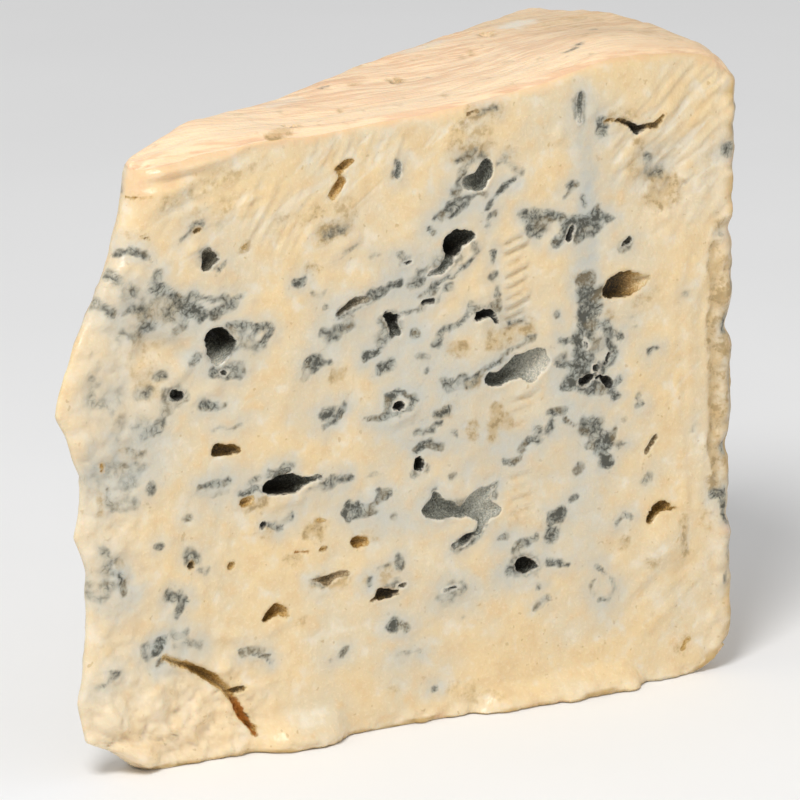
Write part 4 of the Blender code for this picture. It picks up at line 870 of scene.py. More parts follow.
def shape_wedge(grid, settings):
    """Places the vertices in millimetres round the wheel's axis, and works out what each one carries."""
    rim = settings.wheel_radius / MM
    i, j, k = grid[:, 0], grid[:, 1], grid[:, 2]
    across = 2.0 * crowded(j / CELLS_ACROSS, EDGE_CROWDING) - 1.0
    up = crowded(k / CELLS_UP, 0.06)
    on_front = j == 0
    on_back = (j == CELLS_ACROSS) | (i == 0)
    on_base = k == 0
    levels = crowded(np.arange(CELLS_UP + 1) / CELLS_UP, 0.06)
    start = nose_distance(levels * TOP_MIDDLE)[k]
    r = start + (rim - start) * (i / CELLS_ALONG)
    beyond = r - start
    top = top_height(r, across)
    shoulder = top_shoulder(across)
    r, z = round_shoulders(r, top * up, rim, top, shoulder)
    angle = across * HALF_ANGLE

    # The rind's edge is rolled over both cuts, and widest over the tip's shoulder.
    depth, way_r, way_z = depth_under_rind(r, z, rim, top, shoulder)
    half_width = np.maximum(r, 0.0) * math.sin(HALF_ANGLE) + NOSE_BLUNTNESS
    inward = (1.0 - np.abs(across)) * half_width
    over_tip = 1.0 + 1.2 * (1.0 - smooth((r - 20.0) / 30.0)) * (across < 0.0)
    roll = settings.edge_roll / MM * np.where(way_z > 0.5, over_tip, np.where(way_z < -0.5, 0.4, 0.85))
    roll = np.minimum(roll, 0.8 * half_width)
    gap_rind = np.clip(roll - depth, 0.0, None)
    gap_cut = np.clip(roll - inward, 0.0, None)
    corner = (gap_rind > 0.0) & (gap_cut > 0.0)
    length = np.where(corner, np.hypot(gap_rind, gap_cut), 1.0)
    pull_rind = np.where(corner, gap_rind - gap_rind * roll / length, 0.0)
    pull_cut = np.where(corner, gap_cut - gap_cut * roll / length, 0.0)
    r = r - pull_rind * way_r
    z = z - pull_rind * way_z

    share = np.minimum(beyond / NOSE_ROUNDING, 1.0)
    narrowing = np.sqrt(1.0 - (1.0 - share) ** 2)
    sideways = r * np.sin(angle) + across * NOSE_BLUNTNESS * np.exp(-np.maximum(r, 0.0) / 12.0)
    sideways = (sideways - np.sign(across) * pull_cut) * narrowing
    points = np.stack((r * np.cos(angle), sideways, z), axis=1)

    near_tip = (1.0 + 2.0 * np.exp(-np.maximum(points[:, 0], 0.0) / 8.0))[:, None]
    waves = np.array([noise.noise_vector(p) for p in (points / WAVE_SIZE).tolist()]) * WAVE_DEPTH
    ripples = np.array([noise.noise_vector(p) for p in (points / RIPPLE_SIZE + (9, 4, 2)).tolist()])
    shift = waves + ripples * RIPPLE_DEPTH * near_tip
    shift[on_base, 2] = 0.0

    fields = {name: np.zeros(len(grid)) for name in ("slate", "haze", "ochre", "veil", "amber", "crumbs", "drawn")}
    fields["lining"] = np.full(len(grid), 0.5)
    fields["hole"] = np.full(len(grid), 3.0)
    front_gap = (1.0 + across) * np.maximum(r, 0.0) * math.sin(HALF_ANGLE)
    # More tan on the top rind away from the shown cut, and a painted shade along the rind's edge at the shown cut that
    # tones down the rolled edge's highlight.
    fields["tan_and_shade"] = np.maximum(smooth(front_gap / 11.0 - 0.25), 1.2 * (1.0 - smooth(front_gap / 3.2)))
    fields["crown"] = smooth((way_z - 0.15) / 0.6) * (1.0 - 0.36 * smooth((r - 70.0) / 22.0) * (way_z > 0.0))
    fields["rind"] = rind_cover(r, z, depth, way_r, way_z, on_front)

    for side, chosen, make in ((-1, on_front, front_face), (1, on_back & ~on_front, back_face)):
        near = np.nonzero(chosen)[0]
        face = make(r[near], z[near], settings)
        along, up_way, out = cut_ways(side)
        tip = (1.0 - smooth((face.s - 6.0) / 9.0)) * smooth((78.0 - face.z) / 6.0)
        foot = (1.0 - smooth((face.z - 6.0) / 12.0)) * (1.0 - smooth((face.s - 18.0) / 20.0))
        low_edge = (1.0 - smooth(face.z / 2.6)) * 0.75
        rim_edge = smooth((face.s - 94.5) / 3.0) * 0.45
        pebbles = 0.55 * np.exp(-(((face.s - 90.0) / 4.6) ** 2) - ((face.z - 66.0) / 6.0) ** 2) * (side < 0)
        crumbs = np.clip(np.maximum.reduce((tip * 0.42, foot * 0.9, low_edge, rim_edge, pebbles)), 0, 1)
        crumbs *= smooth((face.hole + 0.1) / 0.8)
        face.add_crumble(crumbs * settings.crumbs)
        face.relief += 0.12 * noise_at(face.flat, 4.2, 11) + 0.07 * noise_at(face.flat, 1.7, 12)
        face.relief -= 0.10 * smooth((face.slate - 0.4) / 0.5) * (0.5 + noise_at(face.flat, 0.9, 13))
        face.relief += 0.10 * (1.0 - smooth((face.hole - 0.1) / 0.7)) * (face.hole > 0)
        at_edge = np.maximum(smooth(depth[near] / 1.2), 0.85 * (way_z[near] < -0.5))
        out_by = face.relief * (0.35 + 0.65 * at_edge) * smooth(beyond[near] / 1.5) - face.depth * settings.hole_depth
        shift[near] += out_by[:, None] * out + face.slide_s[:, None] * along + face.slide_z[:, None] * up_way
        for name in ("slate", "haze", "ochre", "veil", "hole", "lining", "amber", "drawn"):
            fields[name][near] = getattr(face, name)
        fields["crumbs"][near] = crumbs

    add_rind_relief(points, shift, grid, r, z, across, inward, way_r, way_z, angle, depth, settings, fields)
    return points + shift, fields


def add_rind_relief(points, shift, grid, r, z, across, inward, way_r, way_z, angle, depth, settings, fields):
    """Wrinkles the top rind, roughens the rim, tears the nicks and rolls folds over the shown cut."""
    out = np.stack((way_r * np.cos(angle), way_r * np.sin(angle), way_z), axis=1)
    on_rind = depth < 0.05
    on_top = on_rind & (way_z > 0.3)
    top_share = smooth((way_z - 0.3) / 0.5)
    # Wrinkles of the top lie along the shown cut, and crowd near it.
    cut_gap = (across + 1.0) * 0.5 * 2.0 * np.maximum(r, 0.0) * math.sin(HALF_ANGLE)
    along = points[:, 0]
    warp = noise_at(points, 9.0, 21) * 1.6
    fine = noise_at(np.stack((along / 9.0, (cut_gap + warp) / 0.85, z * 0), axis=1), 1.0, 22)
    broad = noise_at(np.stack((along / 22.0, (cut_gap + warp) / 2.6, z * 0), axis=1), 1.0, 23)
    wrinkles = settings.wrinkles / MM * (fine * 0.8 + broad * 1.3)
    ragged = noise_at(points, 1.1, 25)
    rough = noise_at(points, 2.6, 24) * 0.35 + ragged * 0.16
    rim_share = np.where(way_r > 0.5, 1.0, 0.0) * (1.0 - top_share)
    height = (wrinkles * top_share + rough * rim_share) * np.exp(-((depth / 1.2) ** 2))
    shift += height[:, None] * out * np.where(way_z < -0.5, 0.0, 1.0)[:, None]
    # Mould and stains lie in patches round the rim.
    on_rim = rim_share * on_rind
    patches = noise_at(points, 6.5, 27) + 0.5 * noise_at(points, 2.2, 28)
    for name, strength, start, reach, amount in (("slate", patches, 0.30, 0.35, 0.50), ("haze", patches, -0.05, 0.50, 0.55),
                                                 ("ochre", noise_at(points, 11.0, 29), -0.10, 0.45, 0.40)):
        fields[name] = np.maximum(fields[name], amount * smooth((strength - start) / reach) * on_rim)
    # Folds of the rolled edge run along the top of the shown cut.
    on_front = grid[:, 1] == 0
    roll_share = on_front * smooth((1.3 * lip_height(r) - depth) / 3.2) * smooth(way_z) * (1.0 - smooth((r - 30.0) / 22.0))
    folds = noise_at(np.stack((r / 9.0, depth * 0, (z - 0.06 * r) / 1.15), axis=1), 1.0, 26)
    cut_out = cut_ways(-1)[2]
    shift += (roll_share * (0.75 + 0.7 * folds) * smooth((r - 9.0) / 4.0))[:, None] * cut_out
    # Nicks of the rim.
    radial = np.stack((np.cos(angle), np.sin(angle), np.zeros_like(angle)), axis=1)
    front_gap = np.where(grid[:, 1] == 0, 0.0, cut_gap)
    for height_at, tall, deep in RIM_NICKS:
        pull = deep * np.exp(-(((z - height_at) / (0.6 * tall)) ** 2)) * np.exp(-((front_gap / 3.0) ** 2))
        shift -= (pull * smooth((r - 94.0) / 5.0))[:, None] * radial
    # Stains, mould spots and dry patches of the top.
    for name, marks in TOP_MARKS.items():
        for *bar, strength in marks:
            gap = mark_distance(points[:, 0] + 0.5 * ragged, points[:, 1] + 0.5 * ragged, bar)
            value = strength * (1.0 - smooth((gap + 0.4) / 1.3)) * top_share * on_rind
            fields[name] = np.maximum(fields[name], value)
    # Needle holes of the top.
    for hole_r, hole_across in NEEDLE_HOLES:
        gap = np.hypot(points[:, 0] - hole_r * math.cos(hole_across * HALF_ANGLE),
                       points[:, 1] - hole_r * math.sin(hole_across * HALF_ANGLE)) - 0.85
        gap = np.where(on_top, gap, 3.0)
        shift[:, 2] -= 2.6 * smooth(-gap / 0.6)
        fields["hole"] = np.minimum(fields["hole"], np.clip(gap, -2.0, 3.0))
        fields["lining"] = np.where(gap < 0.5, 0.2, fields["lining"])
        fields["ochre"] = np.maximum(fields["ochre"], 0.5 * (1.0 - smooth(gap / 1.4)))


UV_BOXES = {
    "front": (0.005, 0.005, 0.0064),
    "rim": (0.685, 0.005, 0.0064),
    "back": (0.005, 0.600, 0.0044),
    "top": (0.480, 0.600, 0.0046),
    "base": (0.480, 0.800, 0.0046),
}


def add_bake_map(mesh, points, sides):
    """Lays the five sides out flat beside one another."""
    layer = mesh.uv_layers.new(name="OFBake")
    loop_vertex = np.empty(len(mesh.loops), np.int32)
    mesh.loops.foreach_get("vertex_index", loop_vertex)
    sizes = np.empty(len(mesh.polygons), np.int32)
    mesh.polygons.foreach_get("loop_total", sizes)
    loop_side = np.repeat(np.array(sides), sizes)
    x, y, z = points[loop_vertex].T
    uv = np.zeros((len(loop_vertex), 2))
    for side, (left, low, scale) in UV_BOXES.items():
        across = {"front": x, "back": x, "top": x, "base": x, "rim": y + 20.0}[side]
        upward = {"front": z, "back": z, "rim": z, "top": y + 20.0, "base": y + 20.0}[side]
        chosen = loop_side == side
        uv[chosen, 0] = left + (across[chosen] + 1.5) * scale
        uv[chosen, 1] = low + (upward[chosen] + 1.0) * scale
    layer.data.foreach_set("uv", uv.ravel())


def build_wedge_mesh(settings):
    """The wedge as one closed mesh, in metres, where the solid stands."""
    grid, rings, sides = wedge_vertices(settings)
    points, fields = shape_wedge(grid, settings)
    move = np.array(WHEEL_AXIS + (0.0,))
    points[:, 2] = np.maximum(points[:, 2], 0.0)
    mesh = bpy.data.meshes.new("cheese_body")
    mesh.from_pydata(((points + move) * MM).tolist(), [], rings)
    add_bake_map(mesh, points, sides)
    for name, values in fields.items():
        layer = mesh.attributes.new(name, "FLOAT", "POINT")
        layer.data.foreach_set("value", values.astype(np.float32))
    rind_sides = np.array([0 if side in ("front", "back") else 1 for side in sides], np.int32)
    mesh.polygons.foreach_set("material_index", rind_sides)
    mesh.shade_smooth()
    mesh.update()
    return mesh


class Bench:
    """Adds nodes to one tree and joins them up."""

    def __init__(self, tree):
        self.tree = tree
        self.place = 0

    def add(self, kind, **settings):
        node = self.tree.nodes.new(kind)
        node.location = (220.0 * (self.place % 12), -260.0 * (self.place // 12))
        self.place += 1
        for name, value in settings.items():
            setattr(node, name, value)
        return node

    def feed(self, socket, value):
        """Gives a socket either another node's output or a plain value."""
        if isinstance(value, bpy.types.NodeSocket):
            self.tree.links.new(value, socket)
        else:
            socket.default_value = value

    def maths(self, operation, *values):
        node = self.add("ShaderNodeMath", operation=operation)
        for socket, value in zip(node.inputs, values):
            self.feed(socket, value)
        return node.outputs[0]

    def ease(self, value, low, high, to_low=0.0, to_high=1.0):
        """Eases from to_low to to_high as the value goes from low to high."""
        node = self.add("ShaderNodeMapRange", interpolation_type="SMOOTHSTEP")
        for name, given in (("Value", value), ("From Min", low), ("From Max", high), ("To Min", to_low), ("To Max", to_high)):
            self.feed(node.inputs[name], given)
        return node.outputs["Result"]

    def mix(self, share, first, second, blend="MIX"):
        node = self.add("ShaderNodeMix", data_type="RGBA", blend_type=blend)
        for number, given in ((0, share), (6, first), (7, second)):
            self.feed(node.inputs[number], given)
        return node.outputs[2]

    def field(self, name):
        """A number that the mesh carries at every vertex."""
        node = self.add("ShaderNodeAttribute", attribute_name=name, attribute_type="GEOMETRY")
        return node.outputs["Fac"]

    def noise(self, place, size, detail=2.0, roughness=0.5, distortion=0.0):
        """Noise with features of the given size in millimetres."""
        node = self.add("ShaderNodeTexNoise")
        for name, given in (("Vector", place), ("Scale", 1.0 / (size * MM)), ("Detail", detail),
                            ("Roughness", roughness), ("Distortion", distortion)):
            self.feed(node.inputs[name], given)
        return node.outputs["Fac"]

    def shifted(self, place, offset):
        node = self.add("ShaderNodeVectorMath", operation="ADD")
        self.feed(node.inputs[0], place)
        self.feed(node.inputs[1], offset)
        return node.outputs[0]

    def stretched(self, place, scale, turn):
        """The place turned about the axes, then scaled: a scale under 1 draws features out along that axis."""
        for name, value in (("Rotation", turn), ("Scale", scale)):
            node = self.add("ShaderNodeMapping", vector_type="POINT")
            self.feed(node.inputs["Vector"], place)
            self.feed(node.inputs[name], value)
            place = node.outputs[0]
        return place

    def ramp(self, share, *stops):
        """Colours along a range, each stop being its place and its colour."""
        node = self.add("ShaderNodeValToRGB")
        elements = node.color_ramp.elements
        while len(elements) < len(stops):
            elements.new(0.5)
        for element, (position, colour) in zip(elements, stops):
            element.position = position
            element.color = colour
        self.feed(node.inputs[0], share)
        return node.outputs["Color"]


def start_group(name, takes, gives):
    """A new shader node group with its sockets, its bench, and its inputs and output node."""
    tree = bpy.data.node_groups.new(name, "ShaderNodeTree")
    for way, sockets in (("INPUT", takes), ("OUTPUT", gives)):
        for socket_name, kind, value in sockets:
            socket = tree.interface.new_socket(name=socket_name, in_out=way, socket_type=kind)
            if value is not None:
                socket.default_value = value
    bench = Bench(tree)
    inputs = bench.add("NodeGroupInput").outputs
    outputs = bench.add("NodeGroupOutput").inputs
    return tree, bench, inputs, outputs


def place_group(bench, tree, **given):
    """Places a group in a material and feeds its inputs, named with _ for a space."""
    node = bench.add("ShaderNodeGroup", node_tree=tree)
    for name, value in given.items():
        bench.feed(node.inputs[name.replace("_", " ")], value)
    return node.outputs


def srgb(red, green, blue):
    """A colour given in the 0 to 255 numbers of a paint chart, as the shader's linear colour."""
    levels = [value / 255.0 for value in (red, green, blue)]
    return tuple(v / 12.92 if v <= 0.04045 else ((v + 0.055) / 1.055) ** 2.4 for v in levels) + (1.0,)


# How the drawn streaks of the upper paste are turned, and the groups' kinds of socket.
FLOW_TURN = (0.0, 0.62, 0.0)
FLOAT = "NodeSocketFloat"
COLOUR = "NodeSocketColor"
VECTOR = "NodeSocketVector"


def fat_mottle_group():
    """Uneven tone of a fatty cheese: broad clouds, small clots and a fine grain."""
    tree, bench, takes, gives = start_group(
        "fat_mottle", (("Place", VECTOR, None),), (("Clouds", FLOAT, None), ("Clots", FLOAT, None), ("Grain", FLOAT, None)))
    place = takes["Place"]
    bench.feed(gives["Clouds"], bench.noise(place, 11.0, 1.0))
    bench.feed(gives["Clots"], bench.noise(bench.shifted(place, (0.3, 0.1, 0.2)), 2.6, 2.0, 0.55))
    bench.feed(gives["Grain"], bench.noise(bench.shifted(place, (0.1, 0.5, 0.3)), 0.42, 1.0, 0.6))
    return tree


def mould_growth_group():
    """Mould over a surface: a bluish haze, olive-grey growth that deepens to dark wiry cores, and ochre stains."""
    tree, bench, takes, gives = start_group(
        "mould_growth",
        (("Surface", COLOUR, (0.8, 0.7, 0.5, 1.0)), ("Place", VECTOR, None), ("Slate", FLOAT, 0.0), ("Haze", FLOAT, 0.0),
         ("Ochre", FLOAT, 0.0), ("Haze colour", COLOUR, (0.5, 0.5, 0.45, 1.0)),
         ("Body colour", COLOUR, (0.2, 0.2, 0.15, 1.0)), ("Thread colour", COLOUR, (0.04, 0.04, 0.03, 1.0)),
         ("Stain colour", COLOUR, (0.3, 0.2, 0.06, 1.0))),
        (("Color", COLOUR, None), ("Cover", FLOAT, None), ("Height", FLOAT, None)))
    place, slate, ochre = takes["Place"], takes["Slate"], takes["Ochre"]
    cloud = bench.maths("SUBTRACT", bench.noise(place, 1.7, 1.0, 0.6), 0.5)
    fine = bench.maths("SUBTRACT", bench.noise(bench.shifted(place, (0.7, 0.2, 0.4)), 0.48, 1.0, 0.6), 0.5)
    patch = bench.noise(bench.shifted(place, (0.2, 0.9, 0.1)), 2.4, 0.0)
    breakup = bench.maths("ADD", bench.maths("MULTIPLY", cloud, 0.4), fine)
    wires = []
    for size, width, offset in ((1.6, 0.13, (0.5, 0.3, 0.8)), (0.95, 0.10, (0.1, 0.7, 0.5))):
        curl = bench.noise(bench.shifted(place, offset), size, 1.0, 0.45)
        wires.append(bench.ease(bench.maths("ABSOLUTE", bench.maths("SUBTRACT", curl, 0.5)), 0.0, width, 1.0, 0.0))
    wire = bench.maths("MAXIMUM", wires[0], bench.maths("MULTIPLY", wires[1], 0.7))
    wire = bench.maths("MULTIPLY", wire, bench.ease(fine, -0.22, 0.10, 0.45, 1.0))

    growth = bench.maths("ADD", slate, bench.maths("MULTIPLY", cloud, 0.8))
    present = bench.ease(slate, 0.02, 0.25)
    body = bench.maths("MULTIPLY", bench.ease(growth, 0.08, 0.80, 0.0, 0.68), present)
    threads = bench.maths("MULTIPLY", bench.maths("MULTIPLY", wire, bench.ease(growth, 0.20, 0.72, 0.0, 0.90)), present)
    core = bench.ease(bench.maths("ADD", growth, bench.maths("MULTIPLY", breakup, 0.7)), 0.68, 1.04, 0.0, 0.88)
    dark = bench.maths("MAXIMUM", threads, core)
    haze = bench.maths("MULTIPLY", takes["Haze"], bench.ease(cloud, -0.3, 0.3, 0.90, 0.50))
    blotch = bench.maths("ADD", cloud, bench.maths("MULTIPLY", fine, 0.5))
    rust = bench.maths("MULTIPLY_ADD", blotch, 1.3, ochre)
    stain = bench.maths("MULTIPLY", bench.ease(rust, 0.08, 0.95, 0.0, 0.60), bench.ease(ochre, 0.02, 0.25))
    specks = bench.maths("MULTIPLY", bench.ease(blotch, 0.00, 0.18), bench.ease(ochre, 0.20, 0.80, 0.0, 0.60))

    colour = bench.mix(haze, takes["Surface"], takes["Haze colour"])
    colour = bench.mix(stain, colour, takes["Stain colour"])
    brown = bench.mix(0.42, takes["Stain colour"], takes["Thread colour"])
    colour = bench.mix(specks, colour, brown)
    growth_colour = bench.mix(bench.ease(patch, 0.52, 0.68, 0.0, 0.16), takes["Body colour"], takes["Stain colour"])
    colour = bench.mix(body, colour, growth_colour)
    colour = bench.mix(dark, colour, bench.mix(bench.ease(patch, 0.56, 0.72, 0.0, 0.40), takes["Thread colour"], brown))
    bench.feed(gives["Color"], colour)
    bench.feed(gives["Cover"], bench.maths("MAXIMUM", bench.maths("MULTIPLY", body, 0.7), dark))
    bench.feed(gives["Height"], bench.maths("MULTIPLY_ADD", body, -0.35, bench.maths("MULTIPLY", dark, -0.65)))
    return tree


def rind_skin_group():
    """The thin skin: peach and creased in fine lines on top, tan and coarser round the rim."""
    tree, bench, takes, gives = start_group(
        "rind_skin",
        (("Place", VECTOR, None), ("Crown", FLOAT, 1.0), ("Worn", FLOAT, 0.5), ("Clouds", FLOAT, 0.5),
         ("Clots", FLOAT, 0.5), ("Top colour", COLOUR, (0.8, 0.6, 0.4, 1.0)), ("Crease colour", COLOUR, (0.6, 0.4, 0.28, 1.0)),
         ("Rim colour", COLOUR, (0.5, 0.36, 0.18, 1.0)), ("Bloom colour", COLOUR, (0.85, 0.75, 0.6, 1.0))),
        (("Color", COLOUR, None), ("Height", FLOAT, None), ("Wax", FLOAT, None)))
    place, crown = takes["Place"], takes["Crown"]
    along_cut = (0.0, 0.0, 1.3 * HALF_ANGLE)
    lines = bench.noise(bench.stretched(place, (0.10, 1.0, 1.0), along_cut), 0.75, 2.0, 0.62)
    broad_lines = bench.noise(bench.stretched(place, (0.14, 1.0, 1.0), along_cut), 2.8, 1.0)
    grit = bench.noise(bench.shifted(place, (0.4, 0.4, 0.9)), 2.0, 2.0, 0.72)
    crease = bench.ease(bench.maths("ADD", bench.maths("MULTIPLY", lines, 0.8), bench.maths("MULTIPLY", broad_lines, 0.5)),
                        0.54, 0.76)
    tan_and_shade = takes["Worn"]
    # The field fed in here darkens the top towards the crease colour: tan away from the shown cut, and painted shade
    # along its edge.
    tan = bench.maths("ADD", bench.maths("MULTIPLY", crease, bench.maths("MULTIPLY_ADD", tan_and_shade, 0.5, 0.3)),
                      bench.maths("MULTIPLY", tan_and_shade, 0.14))
    top = bench.mix(bench.maths("MINIMUM", tan, 1.0), takes["Top colour"], takes["Crease colour"])
    top = bench.mix(bench.ease(takes["Clouds"], 0.35, 0.7, 0.25, 0.0), top, takes["Bloom colour"])
    top = bench.mix(bench.ease(takes["Clots"], 0.62, 0.78, 0.0, 0.35), top, takes["Rim colour"])
    side = bench.mix(bench.ease(grit, 0.30, 0.80, 0.0, 0.45), takes["Rim colour"], takes["Top colour"])
    side = bench.mix(bench.ease(takes["Clouds"], 0.4, 0.60, 0.0, 0.45), side, takes["Bloom colour"])
    bench.feed(gives["Color"], bench.mix(crown, side, top))
    ridges = bench.maths("MULTIPLY", bench.maths("ADD", lines, bench.maths("MULTIPLY", broad_lines, 0.8)), crown)
    bench.feed(gives["Height"], bench.maths("ADD", ridges, bench.maths("MULTIPLY", grit, 0.3)))
    bench.feed(gives["Wax"], crease)
    return tree


def start_material(name):
    material = bpy.data.materials.new(name)
    material.use_nodes = True
    material.node_tree.nodes.clear()
    bench = Bench(material.node_tree)
    surface = bench.add("ShaderNodeBsdfPrincipled")
    output = bench.add("ShaderNodeOutputMaterial")
    bench.feed(output.inputs["Surface"], surface.outputs["BSDF"])
    place = bench.add("ShaderNodeTexCoord").outputs["Object"]
    return material, bench, surface.inputs, place


def finish_surface(bench, surface, colour, roughness, gloss, height, strength):
    """Joins the fields to the surface, with the fatty paste's own depth and shine."""
    bench.feed(surface["Base Color"], colour)
    bench.feed(surface["Roughness"], roughness)
    bench.feed(surface["Coat Weight"], gloss)
    bump = bench.add("ShaderNodeBump")
    bump.inputs["Strength"].default_value = strength
    bump.inputs["Distance"].default_value = MM
    bench.feed(bump.inputs["Height"], height)
    bench.feed(surface["Normal"], bump.outputs["Normal"])
    surface["Subsurface Weight"].default_value = 0.22
    surface["Subsurface Radius"].default_value = (1.0, 0.62, 0.34)
    surface["Subsurface Scale"].default_value = 1.6 * MM
    surface["IOR"].default_value = 1.45
    surface["Coat Roughness"].default_value = 0.12
    surface["Coat IOR"].default_value = 1.4


def cut_paste_material(colours, groups):
    """The cut paste: waxy cream with mould, hole linings and the rind's rolled edge."""
    material, bench, surface, place = start_material("blue_cheese_cut_paste")
    mottle = place_group(bench, groups["mottle"], Place=place)
    clouds, clots, grain = mottle["Clouds"], mottle["Clots"], mottle["Grain"]
    veil, hole, tone, amber = (bench.field(name) for name in ("veil", "hole", "lining", "amber"))
    crumbs, rind, crown = (bench.field(name) for name in ("crumbs", "rind", "crown"))

    paste = bench.mix(bench.ease(clouds, 0.32, 0.68), tuple(colours.paste_pale) + (1.0,), tuple(colours.paste_warm) + (1.0,))
    paste = bench.mix(bench.ease(clots, 0.48, 0.74, 0.0, 0.85), paste, tuple(colours.paste_butter) + (1.0,))
    paste = bench.mix(bench.ease(clots, 0.48, 0.24, 0.0, 0.60), paste, tuple(colours.paste_milk) + (1.0,))
    paste = bench.mix(bench.maths("MULTIPLY", crumbs, bench.ease(clots, 0.3, 0.7, 0.75, 0.25)), paste,
                      tuple(colours.crumb) + (1.0,))
    paste = bench.mix(bench.ease(grain, 0.52, 0.74, 0.0, 0.30), paste, tuple(colours.crumb) + (1.0,))
    glints = bench.noise(bench.shifted(place, (0.8, 0.8, 0.3)), 0.95, 1.0, 0.5)
    paste = bench.mix(bench.ease(glints, 0.30, 0.22, 0.0, 0.45), paste, tuple(colours.stain) + (1.0,))
    flow = bench.noise(bench.stretched(place, (0.24, 1.0, 1.0), FLOW_TURN), 1.9, 1.0, 0.55, 0.6)
    drawn = bench.field("drawn")
    paste = bench.mix(bench.maths("MULTIPLY", bench.ease(flow, 0.50, 0.70, 0.0, 0.70), drawn), paste,
                      tuple(colours.paste_butter) + (1.0,))
    paste = bench.mix(bench.maths("MULTIPLY", bench.ease(flow, 0.46, 0.30, 0.0, 0.60), drawn), paste,
                      tuple(colours.paste_milk) + (1.0,))
    cool = bench.maths("MULTIPLY", bench.maths("MULTIPLY", veil, bench.ease(clots, 0.30, 0.70, 1.0, 0.60)),
                       bench.ease(clouds, 0.3, 0.7, 0.80, 1.0))
    paste = bench.mix(cool, paste, tuple(colours.veil) + (1.0,))
    skin = bench.mix(crown, tuple(colours.rind_band) + (1.0,), tuple(colours.rind_lip) + (1.0,))
    skin = bench.mix(bench.ease(clots, 0.52, 0.70, 0.0, 0.65), skin, tuple(colours.rind_crease) + (1.0,))
    skin = bench.mix(bench.ease(clots, 0.46, 0.30, 0.0, 0.25), skin, tuple(colours.rind_bloom) + (1.0,))
    paste = bench.mix(rind, paste, skin)
    mould = place_group(bench, groups["mould"], Surface=paste, Place=place, Slate=bench.field("slate"),
                        Haze=bench.field("haze"), Ochre=bench.field("ochre"), Haze_colour=tuple(colours.haze) + (1.0,),
                        Body_colour=tuple(colours.slate) + (1.0,), Thread_colour=tuple(colours.thread) + (1.0,),
                        Stain_colour=tuple(colours.stain) + (1.0,))

    # Linings: grey mould from black to pale, or bare paste stained amber. The black is partly painted shade
    # and the pale side partly painted light.
    stipple = bench.noise(place, 0.26, 1.0, 0.75)
    level = bench.maths("ADD", tone, bench.maths("MULTIPLY", bench.maths("SUBTRACT", stipple, 0.5), 0.85))
    grey = bench.ramp(level, (0.0, srgb(30, 27, 18)), (0.16, srgb(56, 54, 44)), (0.42, srgb(106, 106, 94)),
                      (0.72, srgb(164, 162, 148)), (1.0, srgb(214, 206, 186)))
    brown = bench.ramp(level, (0.0, srgb(54, 40, 14)), (0.30, srgb(116, 88, 36)), (0.55, srgb(168, 128, 62)),
                       (0.80, srgb(206, 170, 106)), (1.0, srgb(220, 194, 144)))
    lining = bench.mix(bench.ease(amber, 0.0, 0.9), grey, brown)
    lining = bench.mix(bench.ease(amber, 1.05, 1.5, 0.0, 0.85), lining, srgb(166, 94, 6))
    torn = bench.noise(bench.shifted(place, (0.6, 0.1, 0.7)), 0.75, 1.0, 0.6)
    edge = bench.maths("ADD", hole, bench.maths("MULTIPLY", bench.maths("SUBTRACT", grain, 0.5), 0.16))
    edge = bench.maths("ADD", edge, bench.maths("MULTIPLY", bench.maths("SUBTRACT", torn, 0.5), 0.42))
    inside = bench.ease(edge, 0.07, -0.11)
    bare = bench.ease(amber, 0.2, 0.8)
    # Painted highlight: a milky or buttery rim round each hole's mouth, where its lip would catch the light.
    lip = bench.maths("MULTIPLY", bench.ease(edge, 0.45, 0.08), bench.ease(clots, 0.35, 0.6, 0.10, 0.50))
    lip_highlight_colour = bench.mix(bare, tuple(colours.paste_milk) + (1.0,), tuple(colours.paste_butter) + (1.0,))
    colour = bench.mix(lip, mould["Color"], lip_highlight_colour)
    line = bench.maths("MULTIPLY", bench.ease(bench.maths("ABSOLUTE", edge), 0.0, 0.14, 0.5, 0.0),
                       bench.ease(clots, 0.62, 0.42, 0.1, 1.0))
    colour = bench.mix(inside, colour, lining)
    colour = bench.mix(line, colour, bench.mix(bare, tuple(colours.thread) + (1.0,), tuple(colours.stain) + (1.0,)))

    cover = bench.maths("MAXIMUM", mould["Cover"], inside)
    roughness = bench.ease(cover, 0.0, 1.0, 0.36, 0.62)
    roughness = bench.maths("ADD", roughness, bench.maths("MULTIPLY", bench.maths("SUBTRACT", clots, 0.5), 0.22))
    gloss = bench.maths("MAXIMUM", bench.ease(clots, 0.50, 0.72, 0.05, 0.55), bench.ease(glints, 0.60, 0.70, 0.0, 0.9))
    gloss = bench.maths("MULTIPLY", gloss, bench.ease(cover, 0.0, 0.6, 1.0, 0.25))
    height = bench.maths("ADD", bench.maths("MULTIPLY", clots, 0.34), bench.maths("MULTIPLY", grain, 0.06))
    height = bench.maths("ADD", height, bench.maths("MULTIPLY", mould["Height"], 0.14))
    height = bench.maths("ADD", height, bench.maths("MULTIPLY", bench.maths("MULTIPLY", flow, drawn), 0.40))
    height = bench.maths("ADD", height, bench.maths("MULTIPLY", bench.maths("MULTIPLY", stipple, inside), 0.12))
    finish_surface(bench, surface, colour, roughness, gloss, height, 0.8)
    return material


